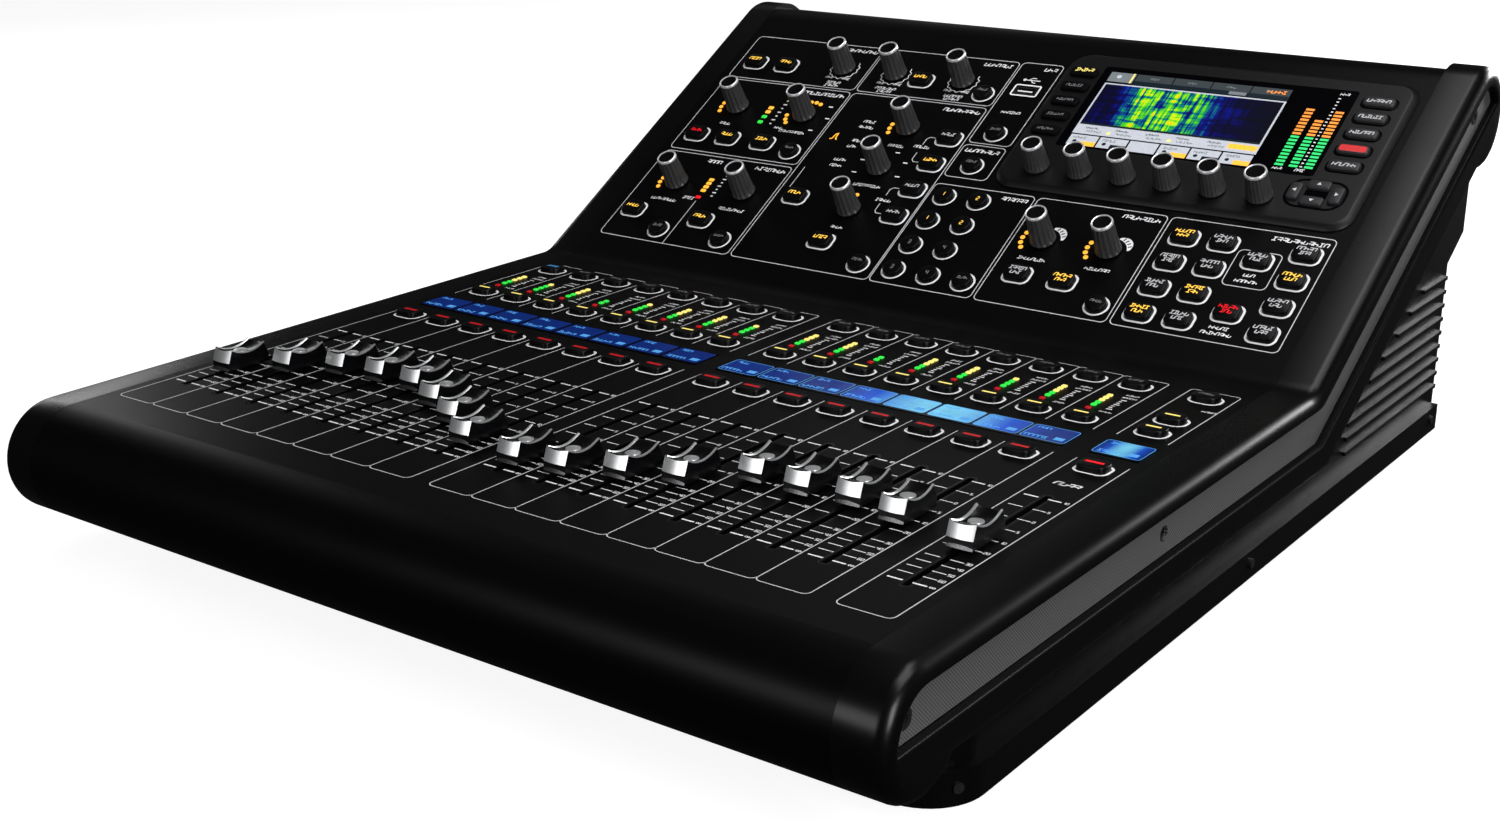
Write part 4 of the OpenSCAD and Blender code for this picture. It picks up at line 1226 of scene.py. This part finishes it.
def record_port():
    """White frame and symbol of the record socket."""
    frame_lines = Shape(PANEL, 0.4)
    u, v = -6.8, 165.8
    frame_lines.stroke(rounded_loop(u, v, 16.2, 9.2, 1.0), 1.1, closed=True)
    frame_lines.bar(u, v - 0.9, 9.5, 1.1)
    frame_lines.stroke([(u - 5, v + 9.2), (u + 5, v + 9.2)], 0.7)
    frame_lines.stroke([(u - 2.5, v + 9.2), (u - 0.5, v + 11.2), (u + 2, v + 11.2)], 0.6)
    frame_lines.stroke([(u - 0.8, v + 9.2), (u + 0.8, v + 7.2), (u + 2.6, v + 7.2)], 0.6)
    frame_lines.ring(u - 5, v + 9.2, 0.0, 1.1, 12)
    frame_lines.piece("record_port_frame", "white", "console")


# ---- display --------------------------------------------------------------------------

BEZEL = (9.5, 213, 85.5, 202.5)
GLASS = (34, 182, 121, 191)
LCD = (39.4, 146.7, 121.8, 186.5)
PAGE_H = BEZEL_H + 0.2
METER_LOW = 127.5
METER_STEP = 2.8


def display_bezel():
    """Raised surround with a broad bevel and a closed top that the glass sits on."""
    left, right, low, high = BEZEL
    u, v, w, d = (left + right) / 2, (low + high) / 2, right - left, high - low
    shape = Shape(PANEL)
    rings = []
    for inset, h in ((0.0, 0.0), (0.0, 0.7), (0.4, 1.2), (2.8, 2.7), (3.4, 2.95),
                     (4.2, BEZEL_H)):
        rings.append(shape.loop(rounded_loop(u, v, w - 2 * inset, d - 2 * inset,
                                             13 - inset, 8), h))
    for a, b in zip(rings, rings[1:]):
        shape.bridge(a, b)
    shape.faces.append(rings[-1])
    shape.piece("bezel_surround", "bezel", "console", ("display_bezel",), smooth=True)
    glass = Shape(PANEL)
    left, right, low, high = GLASS
    centre = ((left + right) / 2, (low + high) / 2)
    glass.pad(key_loop(*centre, right - left, high - low, 2.0), BEZEL_H - 0.4,
              BEZEL_H + 0.12, 0.1, 1)
    glass.piece("display_glass", "glass", "console", ("display_screen",))


def display_page():
    """The lit page: tabs, a spectrum window, a status row and lower tabs."""
    left, right, low, high = LCD
    under = {look: Shape(PANEL, PAGE_H) for look in ("slate", "fog", "ink", "pale")}
    over = {look: Shape(PANEL, PAGE_H + 0.06) for look in
            ("ink", "amber", "pale", "fog", "yellow", "orange")}

    tab_low, band_low = high - 5.8, high - 9.2
    tab_w = (right - left - 16) / 4
    for k in range(4):
        x0 = left + 16 + k * tab_w
        under["slate"].box(x0 + 0.3, x0 + tab_w - 0.3, tab_low, high)
        over["fog"].glyphs(x0 + tab_w / 2, high - 3.0, 4, 1.3, lean=0, seed=k)
    under["fog"].box(left, left + 15.4, band_low + 1, high)
    under["ink"].box(left + 16, right, band_low, tab_low)
    over["yellow"].box(left + 13.6, left + 14.7, band_low + 1, high)
    over["pale"].face(circle_loop(left + 6, high - 3.6, 1.5, 16))
    over["fog"].box(right - 34, right - 24, band_low + 0.5, tab_low - 0.3)
    over["orange"].glyphs(right - 8, high - 3.0, 5, 2.3, lean=0, seed=4)

    window_low, window_high = low + 18.5, band_low - 0.6
    under["pale"].box(left, right, window_low - 1.0, window_high)
    water = Shape(PANEL, PAGE_H + 0.06)
    water.box(left + 1.1, right - 1.1, window_low + 1.6, window_high - 1.1)
    water.piece("page_waterfall", "waterfall", "console")
    over["ink"].box(left + 1.1, right - 1.1, window_low, window_low + 1.6)

    under["pale"].box(left, right, low + 10.6, window_low - 1.0)
    over["amber"].box(right - 17, right - 1, low + 13, window_low - 1.6)
    for k in range(5):
        x0 = left + 10 + k * 18
        over["ink"].glyphs(x0, low + 16.0, 6, 1.2, lean=0, seed=k)
        over["fog"].glyphs(x0 + 2, low + 13.2, 7, 1.3, lean=0, seed=k + 4)
        if k % 2 == 1:
            over["yellow"].bar(x0 - 7, low + 13.2, 2.0, 2.0)

    tab_w = (right - left) / 6
    for k, corner in enumerate(("amber", "ink", None, "amber", "ink", "amber")):
        x0, x1 = left + k * tab_w + 0.5, left + (k + 1) * tab_w - 0.5
        under["pale"].box(x0, x1, low + 1, low + 9.6)
        if corner:
            over[corner].box(x1 - 9, x1, low + 1, low + 4.4)
            over["fog"].glyphs(x0 + 6, low + 7.2, 5, 1.6, lean=0, seed=k)
            over["ink"].face(circle_loop(x0 + 4, low + 4.2, 1.2, 12))
    add_pieces("page_", under)
    add_pieces("page_over_", over)


def display_meters():
    """Three columns of lamps beside the page, with a dotted scale."""
    looks = {look: Shape(PANEL, PAGE_H) for look in ("meter_green", "orange")}
    scale = Shape(PANEL, PAGE_H)
    for u, lit in ((161.4, 17), (169.2, 14), (177.4, 17)):
        for k in range(lit):
            look = "meter_green" if k < 9 else "orange"
            looks[look].bar(u, METER_LOW + k * METER_STEP, 4.6, 1.65)
    for k in range(21):
        scale.bar(173.3, METER_LOW + k * METER_STEP, 1.3, 0.8)
    scale.glyphs(173.6, 124.6, 3, 1.7, seed=2)
    scale.glyphs(161.6, 124.4, 3, 1.7, seed=4)
    scale.glyphs(175, 187.2, 3, 1.7, seed=4)
    add_pieces("display_meter_", looks)
    scale.piece("display_meter_scale", "white", "console")


# ---- CAD nodes that are shown ---------------------------------------------------------

NODE_LOOKS = {
    "base_pan": "case", "rear_panel": "case", "top_shell": "paint", "side_strips": "mesh",
    "scribble_screens": "glass", "feet": "rubber", "screws": "steel",
    "xlr_sockets": "socket", "rear_sockets": "socket", "mains_inlet": "socket",
    "circuit_boards": "board", "power_supply": "sheet", "fader_mechanisms": "track",
    "encoder_bodies": "track", "power_rocker": "cap_black",
}


def dress_nodes():
    for node, look in NODE_LOOKS.items():
        obj = frame["nodes"][node]
        obj.data.materials.clear()
        obj.data.materials.append(MATS[look])


# ---- studio ---------------------------------------------------------------------------

# Name, place and target in metres, size in metres and power in watts
LIGHTS = (
    ("overhead", (0.62, 0.05, 1.7), (0.0, 0.1, 0.1), (1.0, 1.2), 19),
    ("left_sheen", (-1.85, 0.55, 0.68), (-0.25, -0.3, 0.08), (0.6, 0.22), 2.2),
    ("front", (-0.35, -1.7, 0.62), (0.1, -0.1, 0.1), (0.9, 0.5), 7),
    ("right_side", (1.7, -0.9, 0.7), (0.24, -0.05, 0.08), (0.6, 0.9), 24),
    ("panel_sheen", (0.1, 0.75, 1.9), (0.15, 0.2, 0.2), (0.7, 0.5), 4),
    ("bed_sheen", (-0.75, 0.85, 0.9), (0.2, -0.3, 0.08), (0.5, 0.4), 0.12),
    ("rear_fill", (0.55, 2.2, 0.5), (0.0, 0.25, 0.1), (0.9, 0.5), 40),
    ("glass_glare", (-1.2, 2.19, 0.94), (0.1, -0.05, 0.08), (0.5, 0.25), 0.25),
)
FLOOR_REACH = 6.0
FLOOR_Z = -0.0005


def lights():
    for name, place, target, size, power in LIGHTS:
        data = bpy.data.lights.new(name, "AREA")
        data.shape = "RECTANGLE"
        data.size, data.size_y = size
        data.energy = power
        light = bpy.data.objects.new(name, data)
        light.location = place
        aim = Vector(target) - Vector(place)
        light.rotation_euler = aim.to_track_quat("-Z", "Y").to_euler()
        bpy.context.scene.collection.objects.link(light)


def floor():
    mesh = bpy.data.meshes.new("floor")
    corners = [(x * FLOOR_REACH, y * FLOOR_REACH, FLOOR_Z)
               for x, y in ((-1, -1), (1, -1), (1, 1), (-1, 1))]
    mesh.from_pydata(corners, [], [(0, 1, 2, 3)])
    obj = bpy.data.objects.new("floor", mesh)
    bpy.context.scene.collection.objects.link(obj)
    mat, nodes, links, bsdf = new_material("floor_paper")
    noise = noise_on(nodes, links, 3.0)
    links.new(two_tone(nodes, links, noise.outputs["Fac"], (0.42,) * 3, (0.43,) * 3),
              bsdf.inputs["Base Color"])
    bsdf.inputs["Roughness"].default_value = 0.9
    bsdf.inputs["Emission Color"].default_value = (1, 1, 1, 1)
    bsdf.inputs["Emission Strength"].default_value = 0.86
    obj.data.materials.append(mat)
    obj.visible_glossy = False
    obj.visible_diffuse = False


def world():
    """White behind the object, near black in its reflections."""
    scene_world = bpy.data.worlds.new("studio")
    bpy.context.scene.world = scene_world
    scene_world.use_nodes = True
    nodes, links = scene_world.node_tree.nodes, scene_world.node_tree.links
    back = nodes["Background"]
    path = nodes.new("ShaderNodeLightPath")
    links.new(spread(nodes, links, path.outputs["Is Camera Ray"], 0.02),
              back.inputs["Strength"])
    back.inputs["Color"].default_value = (1, 1, 1, 1)


def camera():
    data = bpy.data.cameras.new("camera")
    data.lens, data.sensor_width = 47.6, 36.0
    cam = bpy.data.objects.new("camera", data)
    cam.location = (0.53975, -0.79526, 0.36906)
    pitch, heading = math.radians(18.77), math.radians(36.11)
    cam.rotation_euler = (math.pi / 2 - pitch, 0, heading)
    bpy.context.scene.collection.objects.link(cam)
    bpy.context.scene.camera = cam


def build():
    dress_nodes()
    for side in (-1, 1):
        cheek(side)
    strip_keys()
    panel_keys()
    page_keys()
    places = knobs()
    for i in range(17):
        fader_cap(i)
    bed_lines()
    bed_scales()
    fader_slots()
    strip_meters()
    main_strip_labels()
    scribble_cells()
    panel_lines()
    panel_labels()
    knob_marks(places)
    panel_meters()
    record_port()
    display_bezel()
    display_page()
    display_meters()
    floor()
    world()
    lights()
    camera()
    bpy.context.scene.view_settings.view_transform = "Standard"


build()
